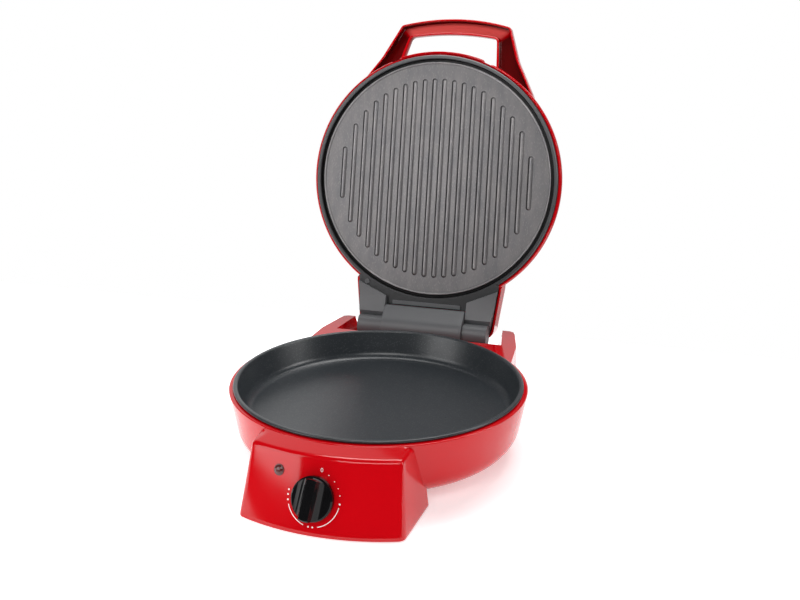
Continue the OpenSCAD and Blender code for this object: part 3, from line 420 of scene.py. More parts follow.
def mixed(tree, share, first, second):
    """Colour that goes from the first to the second as the share rises."""
    return new_node(tree, "ShaderNodeMix", {0: share, 6: first, 7: second},
                    data_type="RGBA").outputs[2]


def darkened(tree, colour_in, factor, share):
    """Colour that falls to 1 - share of itself where the factor is 1."""
    amount = ranged(tree, factor, new=(1.0, 1.0 - share))
    return new_node(tree, "ShaderNodeVectorMath", {0: colour_in, "Scale": amount},
                    operation="SCALE").outputs[0]


def build_finish(
    name, base, rough, rough_spread, tint=0.05, tint_size=35.0, grain=0.0, grain_size=1800.0,
    metal=0.0, ior=1.5, speckle=None, transmission=0.0, stretch=(1, 1, 1), crease=0.0,
    shade=None, bands=(),
):
    """Shader with a slow drift of the colour, an uneven roughness, a fine grain in the surface,
    and, where asked for, speckles (share, size and colour of small cells), painted shade in
    corners after the piece's painted shading values, a painted shade that darkens towards the
    bottom (its ends' heights and its strength), or bands: a painted reflection colour where the
    painted shading is 0, the base at a half and a painted shade colour at 1."""
    material, tree = new_material(name)
    if tree is None:
        return material
    place = new_node(tree, "ShaderNodeTexCoord").outputs["Object"]
    mapping = new_node(tree, "ShaderNodeMapping", {"Vector": place, "Scale": stretch})
    where = mapping.outputs["Vector"]

    drift = noise(tree, where, tint_size, 3.0, 0.55)
    tint = np.broadcast_to(tint, 3)
    light = [min(1.0, c * (1 + t)) for c, t in zip(base, tint)]
    dark = [c * (1 - t) for c, t in zip(base, tint)]
    colour_out = mixed(tree, drift, (*dark, 1), (*light, 1))
    if speckle:
        amount, size, tone = speckle
        cells = new_node(tree, "ShaderNodeTexVoronoi", {"Vector": where, "Scale": size})
        few = ranged(tree, cells.outputs["Distance"], (0.34, 0.14), (0.0, amount))
        colour_out = mixed(tree, few, colour_out, (*tone, 1))
    if crease or bands:
        mark = new_node(tree, "ShaderNodeAttribute", attribute_name="crease").outputs["Fac"]
    # Painted shade, after each point's painted shading value.
    if crease:
        colour_out = darkened(tree, colour_out, mark, crease)
    # Bands: a painted reflection colour towards 0 and a painted shade colour towards 1.
    for band, full in zip(bands, (0.0, 1.0)):
        share = ranged(tree, mark, (0.5, full))
        colour_out = mixed(tree, share, colour_out, (*band, 1))
    # Painted shade, darker towards the bottom.
    if shade:
        low, high, share = shade
        parts = new_node(tree, "ShaderNodeSeparateXYZ", {0: where})
        climb = ranged(tree, parts.outputs["Z"], (high, low))
        colour_out = darkened(tree, colour_out, climb, share)

    uneven = noise(tree, where, tint_size * 3.1, 4.0, 0.6)
    rough_ends = max(0.02, rough - rough_spread), min(1.0, rough + rough_spread)
    surface = {
        "Base Color": colour_out, "Roughness": ranged(tree, uneven, new=rough_ends),
        "Metallic": metal, "IOR": ior, "Transmission Weight": transmission}
    if grain:
        fine = noise(tree, where, grain_size, 2.0, 0.5)
        bump = new_node(tree, "ShaderNodeBump", {
            "Height": fine, "Strength": grain, "Distance": 0.0002})
        surface["Normal"] = bump.outputs["Normal"]
    wire(tree, tree.nodes["Principled BSDF"], surface)
    return material


def made_finish(name):
    """The material of a finish, with the panel's colour where the table names one."""
    base, rough, rough_spread, look = FINISHES[name]
    if isinstance(base, str):
        base = tuple(getattr(bpy.context.scene.cooker_colours, base))
    return build_finish(name, base, rough, rough_spread, **look)


# Each finish: its colour, its roughness and how far that wanders, and what else it has.
SHELL_LOOK = dict(tint=0.03, tint_size=9.0, grain=0.03, grain_size=500.0, ior=1.43)
GREY_LOOK = dict(tint=0.06, grain=0.25, grain_size=2600.0)
FINISHES = {
    "red_gloss": ("shell", 0.09, 0.02, SHELL_LOOK),
    # The handle's bands: a pale pink painted reflection where its painted shading is 0, and a dark
    # red painted shade at 1.
    "red_handle": ("shell", 0.12, 0.02, dict(
        SHELL_LOOK, bands=((0.9, 0.11, 0.1), (0.12, 0.0008, 0.0012)))),
    "grey_satin": ("grey", 0.42, 0.06, GREY_LOOK),
    # Painted shade at the ribs' feet and round the plate's rim, after its painted shading values.
    "plate_coating": ("plate", 0.4, 0.08, dict(
        tint=(0.28, 0.25, 0.21), tint_size=95.0, grain=0.6, grain_size=700.0, metal=0.75,
        speckle=(0.7, 620.0, (0.42, 0.4, 0.39)), stretch=(1, 1, 0.25), crease=0.95)),
    # Painted shade inside the ring, after its painted shading values, and a painted shade that
    # darkens it towards the bottom.
    "grey_frame": ("grey", 0.42, 0.06, dict(GREY_LOOK, crease=0.9, shade=(0.13, 0.42, 0.72))),
    "pan_coating": ("pan", 0.3, 0.05, dict(
        tint=0.08, grain=0.2, grain_size=2000.0, speckle=(0.5, 420.0, (0.09, 0.095, 0.1)))),
    "knob_gloss": ("knob", 0.1, 0.03, dict(tint=0.1, ior=1.3)),
    "print_white": ("marks", 0.5, 0.05, dict(tint=0.02)),
    "dark_plastic": ((0.02, 0.021, 0.022), 0.5, 0.06, dict(grain=0.35, grain_size=2400.0)),
    "dark_steel": ((0.12, 0.12, 0.125), 0.35, 0.08, dict(metal=0.9, grain=0.1)),
    "bright_steel": ((0.62, 0.62, 0.6), 0.28, 0.08, dict(
        metal=1.0, grain=0.08, stretch=(1, 1, 14))),
    "sheet_metal": ((0.75, 0.75, 0.74), 0.32, 0.1, dict(
        metal=1.0, grain=0.1, tint_size=12.0, stretch=(1, 9, 1))),
    "tube_metal": ((0.18, 0.17, 0.16), 0.45, 0.1, dict(metal=0.8, tint=0.2, grain=0.2)),
    "foot_rubber": ((0.012, 0.012, 0.012), 0.75, 0.08, dict(grain=0.5, grain_size=1400.0)),
    "pale_plastic": ((0.62, 0.6, 0.54), 0.4, 0.05, dict(grain=0.15)),
    "ceramic": ((0.7, 0.68, 0.62), 0.3, 0.05, dict(grain=0.3, grain_size=700.0)),
    "lead_black": ((0.012, 0.012, 0.013), 0.4, 0.05, dict(grain=0.2)),
    "lead_white": ((0.66, 0.65, 0.62), 0.5, 0.06, dict(grain=0.3)),
    "lens_tint": ((0.085, 0.012, 0.011), 0.1, 0.03, dict(tint=0.15)),
    "lamp_glass": ((0.8, 0.3, 0.1), 0.1, 0.03, dict(transmission=0.6)),
}

SOLID_FINISHES = {
    "dark_plastic": "rear_cover front_cover",
    "foot_rubber": "feet",
    "tube_metal": "lower_heater upper_heater",
    "sheet_metal": "lower_reflector upper_reflector",
    "bright_steel": "lower_clips upper_clips reflector_posts thermostat thermostat_nut "
                    "thermostat_shaft cover_screws",
    "dark_steel": "hinge_pins frame_screws",
    "lamp_glass": "pilot_lamp",
    "pale_plastic": "terminal_block",
    "ceramic": "thermal_fuse",
    "lead_black": "supply_lead",
    "lead_white": "control_leads lid_leads",
}


# Pieces of the base


def bowl_radius(z):
    """Outer radius of the bowl at height z: a rounded corner up to its sloping side."""
    s = bpy.context.scene.cooker_bowl
    slope = math.radians(s.draft)
    z = np.asarray(z, float)
    centre_z = s.floor_z + s.corner_r
    centre_r = s.rim_r - (s.corner_r + (s.rim_z - centre_z) * math.sin(slope)) / math.cos(slope)
    side = s.rim_r + (z - s.rim_z) * math.tan(slope)
    down = np.clip(centre_z - z, 0, s.corner_r)
    corner = centre_r + np.sqrt(s.corner_r**2 - down**2)
    return np.where(z > centre_z - s.corner_r * math.sin(slope), side, corner)


class COOKER_OT_bowl(bpy.types.Operator):
    """Red bowl: a turned wall with a rounded foot, a sloping side and a ledge for the pan"""

    bl_idname = "cooker.bowl"
    bl_label = "Bowl"

    def execute(self, context):
        s = context.scene.cooker_bowl
        slope = math.tan(math.radians(s.draft))
        foot_r = s.rim_r - (s.rim_z - s.floor_z) * slope
        wall_r = s.rim_r - s.wall / math.cos(math.radians(s.draft))
        seat_r, seat_deep = 157.4, 3.5
        ledge_z = s.rim_z - seat_deep
        floor_z = s.floor_z + s.wall
        profile = rounded(
            [(0, s.floor_z), (foot_r, s.floor_z), (s.rim_r, s.rim_z), (seat_r, s.rim_z),
             (seat_r, ledge_z), (wall_r - seat_deep * slope, ledge_z),
             (wall_r - (s.rim_z - floor_z) * slope, floor_z), (0, floor_z)],
            [0, s.corner_r, 1.1, 0.8, 0.4, 0.5, s.corner_r - s.wall, 0], steps=10)
        make_piece(
            "bowl", [turned(profile)], "base", "red_gloss", ["base_shell"])
        return {"FINISHED"}


class COOKER_OT_pan(bpy.types.Operator):
    """Deep pan: a turned sheet with a round foot and a rolled rim"""

    bl_idname = "cooker.pan"
    bl_label = "Pan"

    def execute(self, context):
        s = context.scene.cooker_bowl
        sheet, side_sheet, lift = 1.8, 1.86, 0.3
        under = s.pan_floor_z - sheet
        slope = (s.pan_mouth_r - s.pan_floor_r) / (PAN_TOP - s.pan_floor_z)
        low = s.rim_z + lift
        outer = s.pan_floor_r + side_sheet
        profile = rounded(
            [(0, under), (outer - 0.4, under), (outer + (low - s.pan_floor_z) * slope, low),
             (PAN_R, low), (PAN_R, PAN_TOP), (s.pan_mouth_r, PAN_TOP),
             (s.pan_floor_r, s.pan_floor_z), (0, s.pan_floor_z)],
            [0, 11.8, 0.5, 1.4, 1.55, 2.4, 10, 0], steps=8)
        make_piece("pan", [turned(profile)], "base", "pan_coating", ["cooking_pan"])
        return {"FINISHED"}


def block_outline(z, inset, hold):
    """Outline of the front block at height z, as rows of points: the curved panel, rounded
    corners, sides, and a back that is straight under the bowl's floor and above it follows the
    bowl at its stated distance from the outside, from where the side x = a + k y meets it."""
    s = bpy.context.scene.cooker_panel
    z, inset = np.asarray(z, float)[:, None], np.asarray(inset, float)[:, None]
    lean, tip = math.radians(s.lean), math.radians(s.side_lean)
    flare = math.tan(math.radians(s.flare))
    end_y = -s.front_y + s.radius - math.sqrt(s.radius**2 - s.width**2 / 4)
    front = -s.front_y + z * math.tan(lean) + inset / math.cos(lean)

    def face(x):
        return front + (s.radius - np.sqrt(s.radius**2 - x**2)) / math.cos(lean)

    def side(y):
        return s.width / 2 + (y - end_y) * flare - z * math.tan(tip) - inset

    corner_x = side(face(side(front + 10)))
    corner_x = side(face(corner_x))
    corner_y = face(corner_x)
    front_n, side_n, back_n = 41, 3, 25
    across = np.linspace(-1, 1, front_n)[None, :] * (corner_x - s.corner_r - 3)
    around = z >= bpy.context.scene.cooker_bowl.floor_z
    reach = bowl_radius(z) + hold
    at_axis = side(0 * z)
    meet = at_axis**2 * flare**2 - (1 + flare**2) * (at_axis**2 - reach**2)
    meet = -(at_axis * flare + np.sqrt(np.maximum(meet, 0))) / (1 + flare**2)
    straight = -s.back_y - inset
    back_y = np.where(around, np.minimum(meet, straight), straight)
    side_y = corner_y + np.linspace(0.2, 0.8, side_n) * (back_y - corner_y)
    back_x = side(back_y) * np.linspace(1, -1, back_n)
    round_y = -np.sqrt(np.maximum(reach**2 - back_x**2, 0))
    back = np.where(around, np.minimum(round_y, straight), straight)
    x = np.concatenate([across, corner_x, side(side_y), back_x, -side(side_y)[:, ::-1],
                        -corner_x, across[:, :1]], axis=1)
    y = np.concatenate([face(across), corner_y, side_y, back, side_y[:, ::-1], corner_y,
                        face(across[:, :1])], axis=1)
    radii = [0] * front_n + [s.corner_r] + [0] * (2 * side_n + back_n) + [s.corner_r, 0]
    return rounded(np.stack([x, y], axis=-1), radii, steps=8)[:, :-1]


class COOKER_OT_front_block(bpy.types.Operator):
    """Front block with the leaning panel: its outline is carried up its height, drawn in along
    a quarter circle at the top edge, and led over the top to the bowl"""

    bl_idname = "cooker.front_block"
    bl_label = "Front block"

    def execute(self, context):
        s = context.scene.cooker_panel
        r = s.edge_r
        turn = np.radians(np.linspace(0, 90, 8))
        z = np.concatenate([[0, 0.4, 1.1], np.linspace(4, 9.4, 3), np.linspace(10, 20, 5),
                            np.linspace(24, s.top_z - r, 12), s.top_z - r + r * np.sin(turn[1:])])
        inset = np.zeros(len(z))
        inset[:2], inset[-7:] = (1.0, 0.3), r * (1 - np.cos(turn[1:]))
        t = np.linspace(0, 1, 7)[1:, None, None]
        outer_hold, inner_hold = -1.2, 0.6
        skins = []
        for wall, hold in ((0, outer_hold), (s.wall, inner_hold)):
            level = z * (s.top_z - wall) / s.top_z
            rows = block_outline(level, inset + wall, hold)
            seam = rows[-1] * (bowl_radius(level[-1] + s.top_rise) + hold) / far(rows[-1])
            plan = np.concatenate([rows, rows[-1] * (1 - t) + seam * t])
            h = np.concatenate([level, level[-1] + s.top_rise * t.ravel()])[:, None, None]
            skins.append(np.concatenate([plan, h + 0 * plan[..., :1]], axis=-1))
        both = np.concatenate([skins[0], skins[1][::-1]])
        make_piece("front_block", [grid_part(on_base(both), True, True)], "base", "red_gloss",
                   ["control_housing"], sharp=50)
        return {"FINISHED"}


def dial_place(clock, r):
    """Place (x, up) on the panel, at an angle clockwise from upright and r from the knob."""
    s = bpy.context.scene.cooker_panel
    a = np.radians(clock)
    return s.knob_x + r * np.sin(a), s.knob_up + r * np.cos(a)


class COOKER_OT_dial_marks(bpy.types.Operator):
    """Printed marks round the knob: bands along arcs and small discs, each a thin raised layer
    that follows the panel's curve"""

    bl_idname = "cooker.dial_marks"
    bl_label = "Dial marks"

    def execute(self, context):
        s = context.scene.cooker_panel
        above, below, half = 0.08, -0.1, 0.35
        turn = np.radians(np.linspace(0, 360, 24, endpoint=False))[None, :]

        def round_mark(clock, r, first, second):
            """Flat mark between two ovals of these half widths and heights, or from a point."""
            x, up = dial_place(clock, r)
            wide, tall = np.array([first, second, second, first]).T[..., None]
            out = np.array([above, above, below, below])[:, None]
            return grid_part(on_panel(x + wide * np.cos(turn), up + tall * np.sin(turn), out),
                             wrap_rows=any(first), wrap_columns=True)

        parts = []
        for start, end in ((101.8, 165.5), (196.8, 250.9)):
            a = np.linspace(start, end, 60)[:, None]
            across = np.array([[-half, -half, half, half]])
            out = np.array([[below, above, above, below]])
            band = on_panel(*dial_place(a, s.dial_r + across), out)
            parts += [grid_part(band, wrap_columns=True), cap_part(band[0]), cap_part(band[-1])]
        zero_at, zero_r, small, big = 12.5, 27.4, 0.55, 0.85
        fine = small * 0.8
        dots = ((30.1, fine), (47.5, fine), (63.1, fine), (77.8, small), (94.7, big),
                (176.2, big), (185.5, big), (259.8, big), (270.4, big), (280.3, big))
        parts += [round_mark(clock, s.dial_r, (0, 0), (r, r)) for clock, r in dots]
        parts.append(round_mark(zero_at, zero_r, (1.25, 1.85), (0.75, 1.35)))
        make_piece("dial_marks", parts, "base", "print_white")
        return {"FINISHED"}


class COOKER_OT_lens(bpy.types.Operator):
    """Pilot lens: a turned cap with a flange, and a shank in the panel"""

    bl_idname = "cooker.lens"
    bl_label = "Pilot lens"

    def execute(self, context):
        s = context.scene.cooker_panel
        r, flange_r, bore_r, shank = 4.4, 5.5, 2.8, -7
        profile = rounded(
            [(0, 2.4), (r * 0.6, 2.1), (r - 0.1, 1.1), (r, 0.7), (flange_r, 0.8),
             (flange_r, 0.1), (r, 0.1), (r, shank), (bore_r, shank), (bore_r, 0), (0, 0.4)],
            [0, 2, 0.5, 0.2, 0.35, 0.1, 0.1, 0.3, 0.3, 0.5, 0])
        centre = on_panel(s.lens_x, s.lens_up, 0.0)
        ahead = on_panel(s.lens_x, s.lens_up, 1.0) - centre
        uphill = on_panel(s.lens_x, s.lens_up + 0.5, 0.0) - on_panel(s.lens_x, s.lens_up - 0.5, 0.0)
        axes = np.array([np.cross(uphill, ahead), uphill, ahead])
        cap = turned(profile, lambda points: centre + points @ axes, 64)
        make_piece("pilot_cap", [cap], "base", "lens_tint", ["pilot_lens"])
        return {"FINISHED"}


# Pieces of the lid

RIM_IN = 1.5  # how far the dome draws in from its widest line to its rim, in mm


def dome_radius(h, off=0.0):
    """Radius of the dome at height h, moved in by off: under its widest line it draws in a
    little to the rim, and above it r = R (1 - (z / H)^2.2)^(1/4)."""
    s = bpy.context.scene.cooker_lid
    r, top = s.rim_r - off, s.height - s.foot - off
    h = np.asarray(h, float)
    z = np.clip((h - s.foot) / top, 0, 1)
    low = np.clip((s.foot - h) / (s.foot - s.rim_low), 0, 1)
    return r * (1 - z**2.2) ** 0.25 - RIM_IN * low


def drawn_in(r, t):
    """Radius r of the dome at angle t, held to the front radius between the handle's arms,
    with a soft step at either side."""
    s = bpy.context.scene.cooker_lid
    step_x, step_wide = 68, 4
    edge = np.clip((step_x - np.abs(r * np.cos(t))) / step_wide, 0, 1)
    step = np.where(np.sin(t) > 0, 1.0, 0.0) * edge * edge * (3 - 2 * edge)
    return np.where(r > s.front_r, r + (s.front_r - r) * step, r)


class COOKER_OT_dome(bpy.types.Operator):
    """Dome of the lid: a closed double wall turned from a superellipse, drawn in a little
    between the handle's arms"""

    bl_idname = "cooker.dome"
    bl_label = "Dome"

    def execute(self, context):
        s = context.scene.cooker_lid
        turn = np.radians(np.linspace(0, 90, 40))
        walls = []
        for wall in (0, s.wall):
            up = s.foot + (s.height - s.foot - wall) * np.sin(turn)
            walls.append(np.stack([dome_radius(up, wall), up], axis=-1))
            walls[-1][-1, 0] = 0
        outer, inner = walls
        seat_r, outer_rim = 160.4, 9
        rim = rounded(
            [(s.rim_r, s.foot), (s.rim_r - 0.4, s.rim_low + 2), (s.rim_r - RIM_IN, s.rim_low),
             (seat_r, s.rim_low), (seat_r, s.foot), (s.rim_r - s.wall, s.foot)],
            [0, 2.0, 0.8, 0.5, 0.3, 0])
        profile = np.concatenate([outer[::-1], rim[1:-1], inner])
        outside = np.arange(len(profile)) < len(outer) + outer_rim
        dome = turned(profile, on_lid, 480, lambda r, t: np.where(outside, drawn_in(r, t), r))
        make_piece("lid_dome", [dome], "lid", "red_gloss", ["lid_shell"])
        return {"FINISHED"}


class COOKER_OT_lip(bpy.types.Operator):
    """Lip in the finger gap: a rounded bar along the dome's rim whose section shrinks to round
    ends, by the square root of 1 - a2"""

    bl_idname = "cooker.lip"
    bl_label = "Finger lip"

    def execute(self, context):
        s = context.scene.cooker_lid
        inner, outer = s.front_r - 1.4, s.rim_r + 0.8
        low, high = s.rim_low, s.rim_low + 8
        corners = [(inner, low), (outer, low), (outer, high), (inner, high)]
        section = rounded(corners[-1:] + corners + corners[:1], [0, 0.3, 1.2, 2.2, 0.3, 0])[1:-1]
        reach = math.asin(s.lip_half / outer)
        a = np.sin(np.radians(np.linspace(-90, 90, 121)))[:, None] * reach
        soft, least = 4.0 / outer, 0.35
        tip = np.clip((np.abs(a) - (reach - soft)) / soft, 0, 1)
        size = np.sqrt(1 - tip**2)
        middle = (low + high) / 2
        r = inner + (section[:, 0] - inner) * (least + (1 - least) * size)
        h = middle + (section[:, 1] - middle) * size
        grid = np.stack([r * np.sin(a), r * np.cos(a), h], axis=-1)
        make_piece("finger_lip", [grid_part(on_lid(grid), wrap_columns=True)], "lid",
                   "red_gloss")
        return {"FINISHED"}


class COOKER_OT_tail(bpy.types.Operator):
    """Tail of the lid: its outline from above is carried up its leaning sides, round the top
    edge along a quarter circle, and over the sloping top into the dome"""

    bl_idname = "cooker.tail"
    bl_label = "Tail"

    def execute(self, context):
        s = context.scene.cooker_lid
        lean = math.tan(math.radians(s.tail_draft))
        start, joint_y, bend_y, bend_r, corner_r, round_r = 118.0, 131.7, 166.3, 30, 13, 9.0
        y = np.array([start, 140, bend_y] + [s.tail_back] * 5)
        x = -np.interp(y, [joint_y, bend_y, 201], [96.5, 92, 87.5])
        x[4:] = -60, -s.notch_half - 0.8, -s.notch_half, -20
        half = np.stack([x, y], axis=-1)
        radii = [0, 0, bend_r, corner_r, 0, 0, 0, 0]
        line = rounded(np.concatenate([half, half[::-1] * [-1, 1]]), radii + radii[::-1], steps=16)
        longest = 4
        parts = 1 + (far(np.diff(line, axis=0))[:, 0] / longest).astype(int)
        fine = [np.linspace(p, q, k + 1)[:-1] for p, q, k in zip(line[:-1], line[1:], parts)]
        line = np.concatenate(fine + [line[-1:]])
        along = np.gradient(line, axis=0)
        inward = np.stack([along[:, 1], -along[:, 0]], axis=-1)
        inward /= far(inward)

        def top_at(where):
            return np.interp(where, [start, joint_y, s.tail_back], [46, s.tail_top, s.tail_end])

        notch = (np.abs(line[:, 0]) < s.notch_half + 0.1) & (line[:, 1] > s.tail_back - 3)
        inside = np.hypot(line[:, 0], line[:, 1]) < s.rim_r - 0.5
        foot_in, foot_out = 14.0, 3.0
        foot = np.where(notch, s.notch_up, np.where(inside, foot_in, foot_out))
        skins = []
        for wall in (0, s.wall):
            r = round_r - wall
            shoulder = top_at(line[:, 1]) - round_r
            rows = []
            for share in np.linspace(0, 1, 8):
                h = foot + (shoulder - foot) * share
                rows.append(np.column_stack([line + inward * (wall + h * lean)[:, None], h]))
            for turn in np.radians(np.linspace(0, 90, 9))[1:]:
                draw = wall + shoulder * lean + r * (1 - np.cos(turn))
                plan = line + inward * draw[:, None]
                h = top_at(plan[:, 1]) - round_r + r * np.sin(turn)
                rows.append(np.column_stack([plan, h]))
            edge = rows[-1]
            target = np.stack([edge[:, 0] * 0.5, np.full(len(edge), start - 4)], axis=-1)
            for share in np.linspace(0, 1, 9)[1:]:
                plan = edge[:, :2] * (1 - share) + target * share
                rows.append(np.column_stack([plan, top_at(plan[:, 1]) - wall]))
            skins.append(np.stack(rows))
        grid = on_lid(np.concatenate([skins[0], skins[1][::-1]]) * [1, -1, 1])
        parts = [grid_part(grid, wrap_rows=True), cap_part(grid[:, 0]), cap_part(grid[:, -1])]
        make_piece("lid_tail", parts, "lid", "red_gloss", sharp=45)
        return {"FINISHED"}


def along_line(points, count):
    """A line resampled to count points, evenly along its length."""
    at = np.concatenate([[0], np.cumsum(far(np.diff(points, axis=0)))])
    want = np.linspace(0, at[-1], count)
    return np.stack([np.interp(want, at, values) for values in points.T], axis=-1)


class COOKER_OT_handle(bpy.types.Operator):
    """Looped handle: a channel section between an outer and an inner line, both carried from
    one root over the grip to the other, and each line of the section ends in the dome's wall"""

    bl_idname = "cooker.handle"
    bl_label = "Handle"

    def execute(self, context):
        s = context.scene.cooker_handle

        arm_n, grip_n, bend_r = 60, 40, 60

        def loop(corner_x, corner_v, bow, path, radius):
            """Arm, rounded corner and half of the bowed grip."""
            bow_r = (corner_x**2 + bow**2) / (2 * bow)
            x = np.linspace(corner_x - 9, 0, 12)
            grip = np.stack([x, corner_v + bow - bow_r + np.sqrt(bow_r**2 - x**2)], axis=-1)
            half = np.concatenate([path, [[corner_x, corner_v]], grip])
            radii = [0] + [bend_r] * (len(path) - 1) + [radius] + [0] * len(grip)
            line = rounded(half, radii, steps=10)
            turn_at = np.argmin(far(line - [corner_x, corner_v]))
            arm = along_line(line[: turn_at + 1], arm_n)
            top = along_line(line[turn_at:], grip_n)
            return np.concatenate([arm, top[1:]])

        middle = (s.reach + s.root_reach) / 2
        waist = (s.grip_half + s.root_half) / 2 - s.waist
        outer_path = [(s.root_half + 7, s.root_reach - 28), (s.root_half, s.root_reach),
                      (waist, middle)]
        inner_path = [(s.gap_root, s.root_reach - 10), (s.gap_root, 148)]
        outer = loop(s.grip_half, s.reach - 1, s.bow, outer_path, 5)
        inner = loop(s.gap_half, s.reach - s.band, s.bow / 2, inner_path, 7)
        wall, deep, edge, round_r, width = s.wall, s.deep, 0.9, 3.0, 40.0
        flat = [(0, 0), (0, deep), (width, deep), (width, 0), (width - wall, 0),
                (width - wall, deep - wall), (wall, deep - wall), (wall, 0)]
        radii = [0, edge, round_r, round_r, edge, edge, round_r / 2, round_r / 2, edge, 0]
        section = rounded(flat[-1:] + flat + flat[:1], radii, steps=4)[1:-1]
        which = (section[:, 0] > width / 2).astype(float)
        offset = section[:, 0] - which * width
        up = section[:, 1]
        across = inner - outer
        span = far(across)
        across = across / span
        plan = outer[:, None] + across[:, None] * (which * span + offset)[..., None]
        h = s.root_h + (plan[..., 1] - s.root_reach) * math.tan(math.radians(s.rise)) + up
        grid = np.concatenate([plan, h[..., None]], axis=-1)
        grid = self.ended_in_dome(grid)
        grid = np.concatenate([grid, grid[-2::-1] * [-1, 1, 1]])
        # Painted shading of the channel: painted shade (1) inside the arms and on the inner side of
        # the grip's outer wall, a painted reflection (0) on the grip's web, and the shell's own
        # colour (0.5) elsewhere.
        inner = (np.abs(offset) > 0.95 * wall) & (up < deep - wall + 0.01) & (up > 0.8)
        web = inner & (up > deep - wall - 0.1)
        arm = np.clip((s.reach - 9 - grid[..., 1].mean(1)) / 8, 0, 1)[:, None]
        grip = np.where(web, 0.0, np.where(inner & (which < 0.5), 1.0, 0.5))
        crease = arm * np.where(inner, 1.0, 0.5) + (1 - arm) * grip
        parts = [grid_part(on_lid(grid), wrap_columns=True)]
        parts += [cap_part(on_lid(grid[0])), cap_part(on_lid(grid[-1]))]
        ends = np.full(4 * len(up), 0.5)
        make_piece("grip_loop", parts, "lid", "red_handle", ["lid_handle"],
                   crease=[crease.ravel(), ends])
        return {"FINISHED"}

    @staticmethod
    def ended_in_dome(arm):
        """Each line of the section is cut where it comes out of the dome, a little inside the
        wall, and its points up to the waist are spread evenly again."""
        inside, waist = 1.2, 45
        r, h = np.hypot(arm[..., 0], arm[..., 1]), arm[..., 2]
        s = bpy.context.scene.cooker_lid
        depth = r + inside - np.where(h < s.foot, s.rim_r - 1, dome_radius(h))
        out = np.argmax(depth > 0, axis=0)
        first = np.maximum(out - 1, 0)
        columns = np.arange(arm.shape[1])
        d0, d1 = depth[first, columns], depth[out, columns]
        begin = first + np.where(out > 0, -d0 / np.where(d1 - d0 == 0, 1, d1 - d0), 0)
        t = np.linspace(0, 1, waist)[:, None]
        where = begin[None, :] * (1 - t) + waist * t
        low = np.floor(where).astype(int)
        part = (where - low)[..., None]
        fresh = arm[low, columns] * (1 - part) + arm[low + 1, columns] * part
        return np.concatenate([fresh, arm[waist + 1 :]])


class COOKER_OT_grill_plate(bpy.types.Operator):
    """Ribbed plate: a turned plate with a raised bead, and ribs whose round-ended outline is
    drawn in as it is carried up over their section"""

    bl_idname = "cooker.grill_plate"
    bl_label = "Grill plate"

    def execute(self, context):
        s = context.scene.cooker_plate
        e, face, back = s.edge_r, s.sink, s.sink + s.thick
        profile = rounded(
            [(0, face), (e - 6.4, face), (e - 5.1, face - 1.3), (e - 3.9, face - 1.3),
             (e - 3.0, face + 1), (e, face + 1), (e, back), (0, back)],
            [0, 0.9, 0.7, 0.7, 0.4, 0.3, 0.4, 0])
        plate = turned(profile, on_lid)
        # Painted shade on the groove's outer slope and the raised edge next to the frame, and a thin
        # painted shade line where the face turns down into the groove.
        deep = np.clip((profile[:, 0] - (e - 3.7)) / 0.9, 0, 1)
        line = 0.6 * np.exp(-(((profile[:, 0] - (e - 6.5)) / 0.35) ** 2))
        painted_shading_values = [np.tile(np.maximum(deep, line), len(plate[0]) // len(profile))]
        x = (np.arange(s.ribs) - (s.ribs - 1) / 2)[:, None, None] * s.pitch
        half = np.sqrt(s.circle_r**2 - x**2) - s.rib_w / 2
        # Each row of a rib's section: inset, rise, and the painted shade of its foot.
        section = np.array([
            (-1.6, -0.2, 0), (-1.5, 0.02, 0), (-0.9, 0.04, 1), (-0.3, 0.08, 1), (0.2, 0.4, 1),
            (1.0, 1.75, 0.15), (1.35, 2.2, 0), (1.7, 2.42, 0), (2.1, 2.5, 0), (2.45, 2.5, 0)])
        inset, up, dark = section.T
        up = up * s.rib_h / 2.5
        t = np.radians(np.linspace(0, 360, 48, endpoint=False))
        end = np.where(np.sin(t) >= 0, 1.0, -1.0)
        r = (s.rib_w / 2 - inset)[:, None]
        px, pv = x + r * np.cos(t), end * half + r * np.sin(t)
        ribs = on_lid(np.stack([px, pv, (face - up)[:, None] + 0 * px], axis=-1))
        parts = [plate] + [grid_part(rib, wrap_columns=True) for rib in ribs]
        # Painted shade round each rib's foot, fullest on its left side and least on its right.
        painted_shading_values += [(dark[:, None] * (0.72 - 0.28 * np.cos(t))).ravel()] * s.ribs
        for ring in (0, -1):
            parts += [cap_part(rib[ring]) for rib in ribs]
            painted_shading_values += [np.zeros(2 * len(t))] * s.ribs
        make_piece("ribbed_plate", parts, "lid", "plate_coating", ["grill_plate"],
                   sharp=50, crease=painted_shading_values)
        return {"FINISHED"}


class COOKER_OT_solids(bpy.types.Operator):
    """Copies of the plain solids with eased edges, and finishes for the rest"""

    bl_idname = "cooker.solids"
    bl_label = "Solid pieces"

    def execute(self, context):
        eased("rear_block", "rear_housing", "base", "red_gloss", 1.6, 4)
        eased("hinge_middle", "hinge_block", "base", "grey_satin", 0.8)
        eased("ramp_left", "hinge_arm_left", "lid", "grey_satin", 0.7)
        eased("ramp_right", "hinge_arm_right", "lid", "grey_satin", 0.7)
        eased("frame_ring", "lid_frame", "lid", "grey_frame", 0.35, 2,
              crease=painted_ring_shade)
        eased("frame_bar", "frame_strip", "lid", "grey_satin", 0.4)
        eased("dial_knob", "knob", "dial", "knob_gloss", 0.5, 3)
        eased("cord_inlet", "cord_bush", "base", "dark_plastic", 0.6)
        for finish, names in SOLID_FINISHES.items():
            for name in names.split():
                materials = frame["nodes"][name].data.materials
                materials.clear()
                materials.append(made_finish(finish))
        return {"FINISHED"}


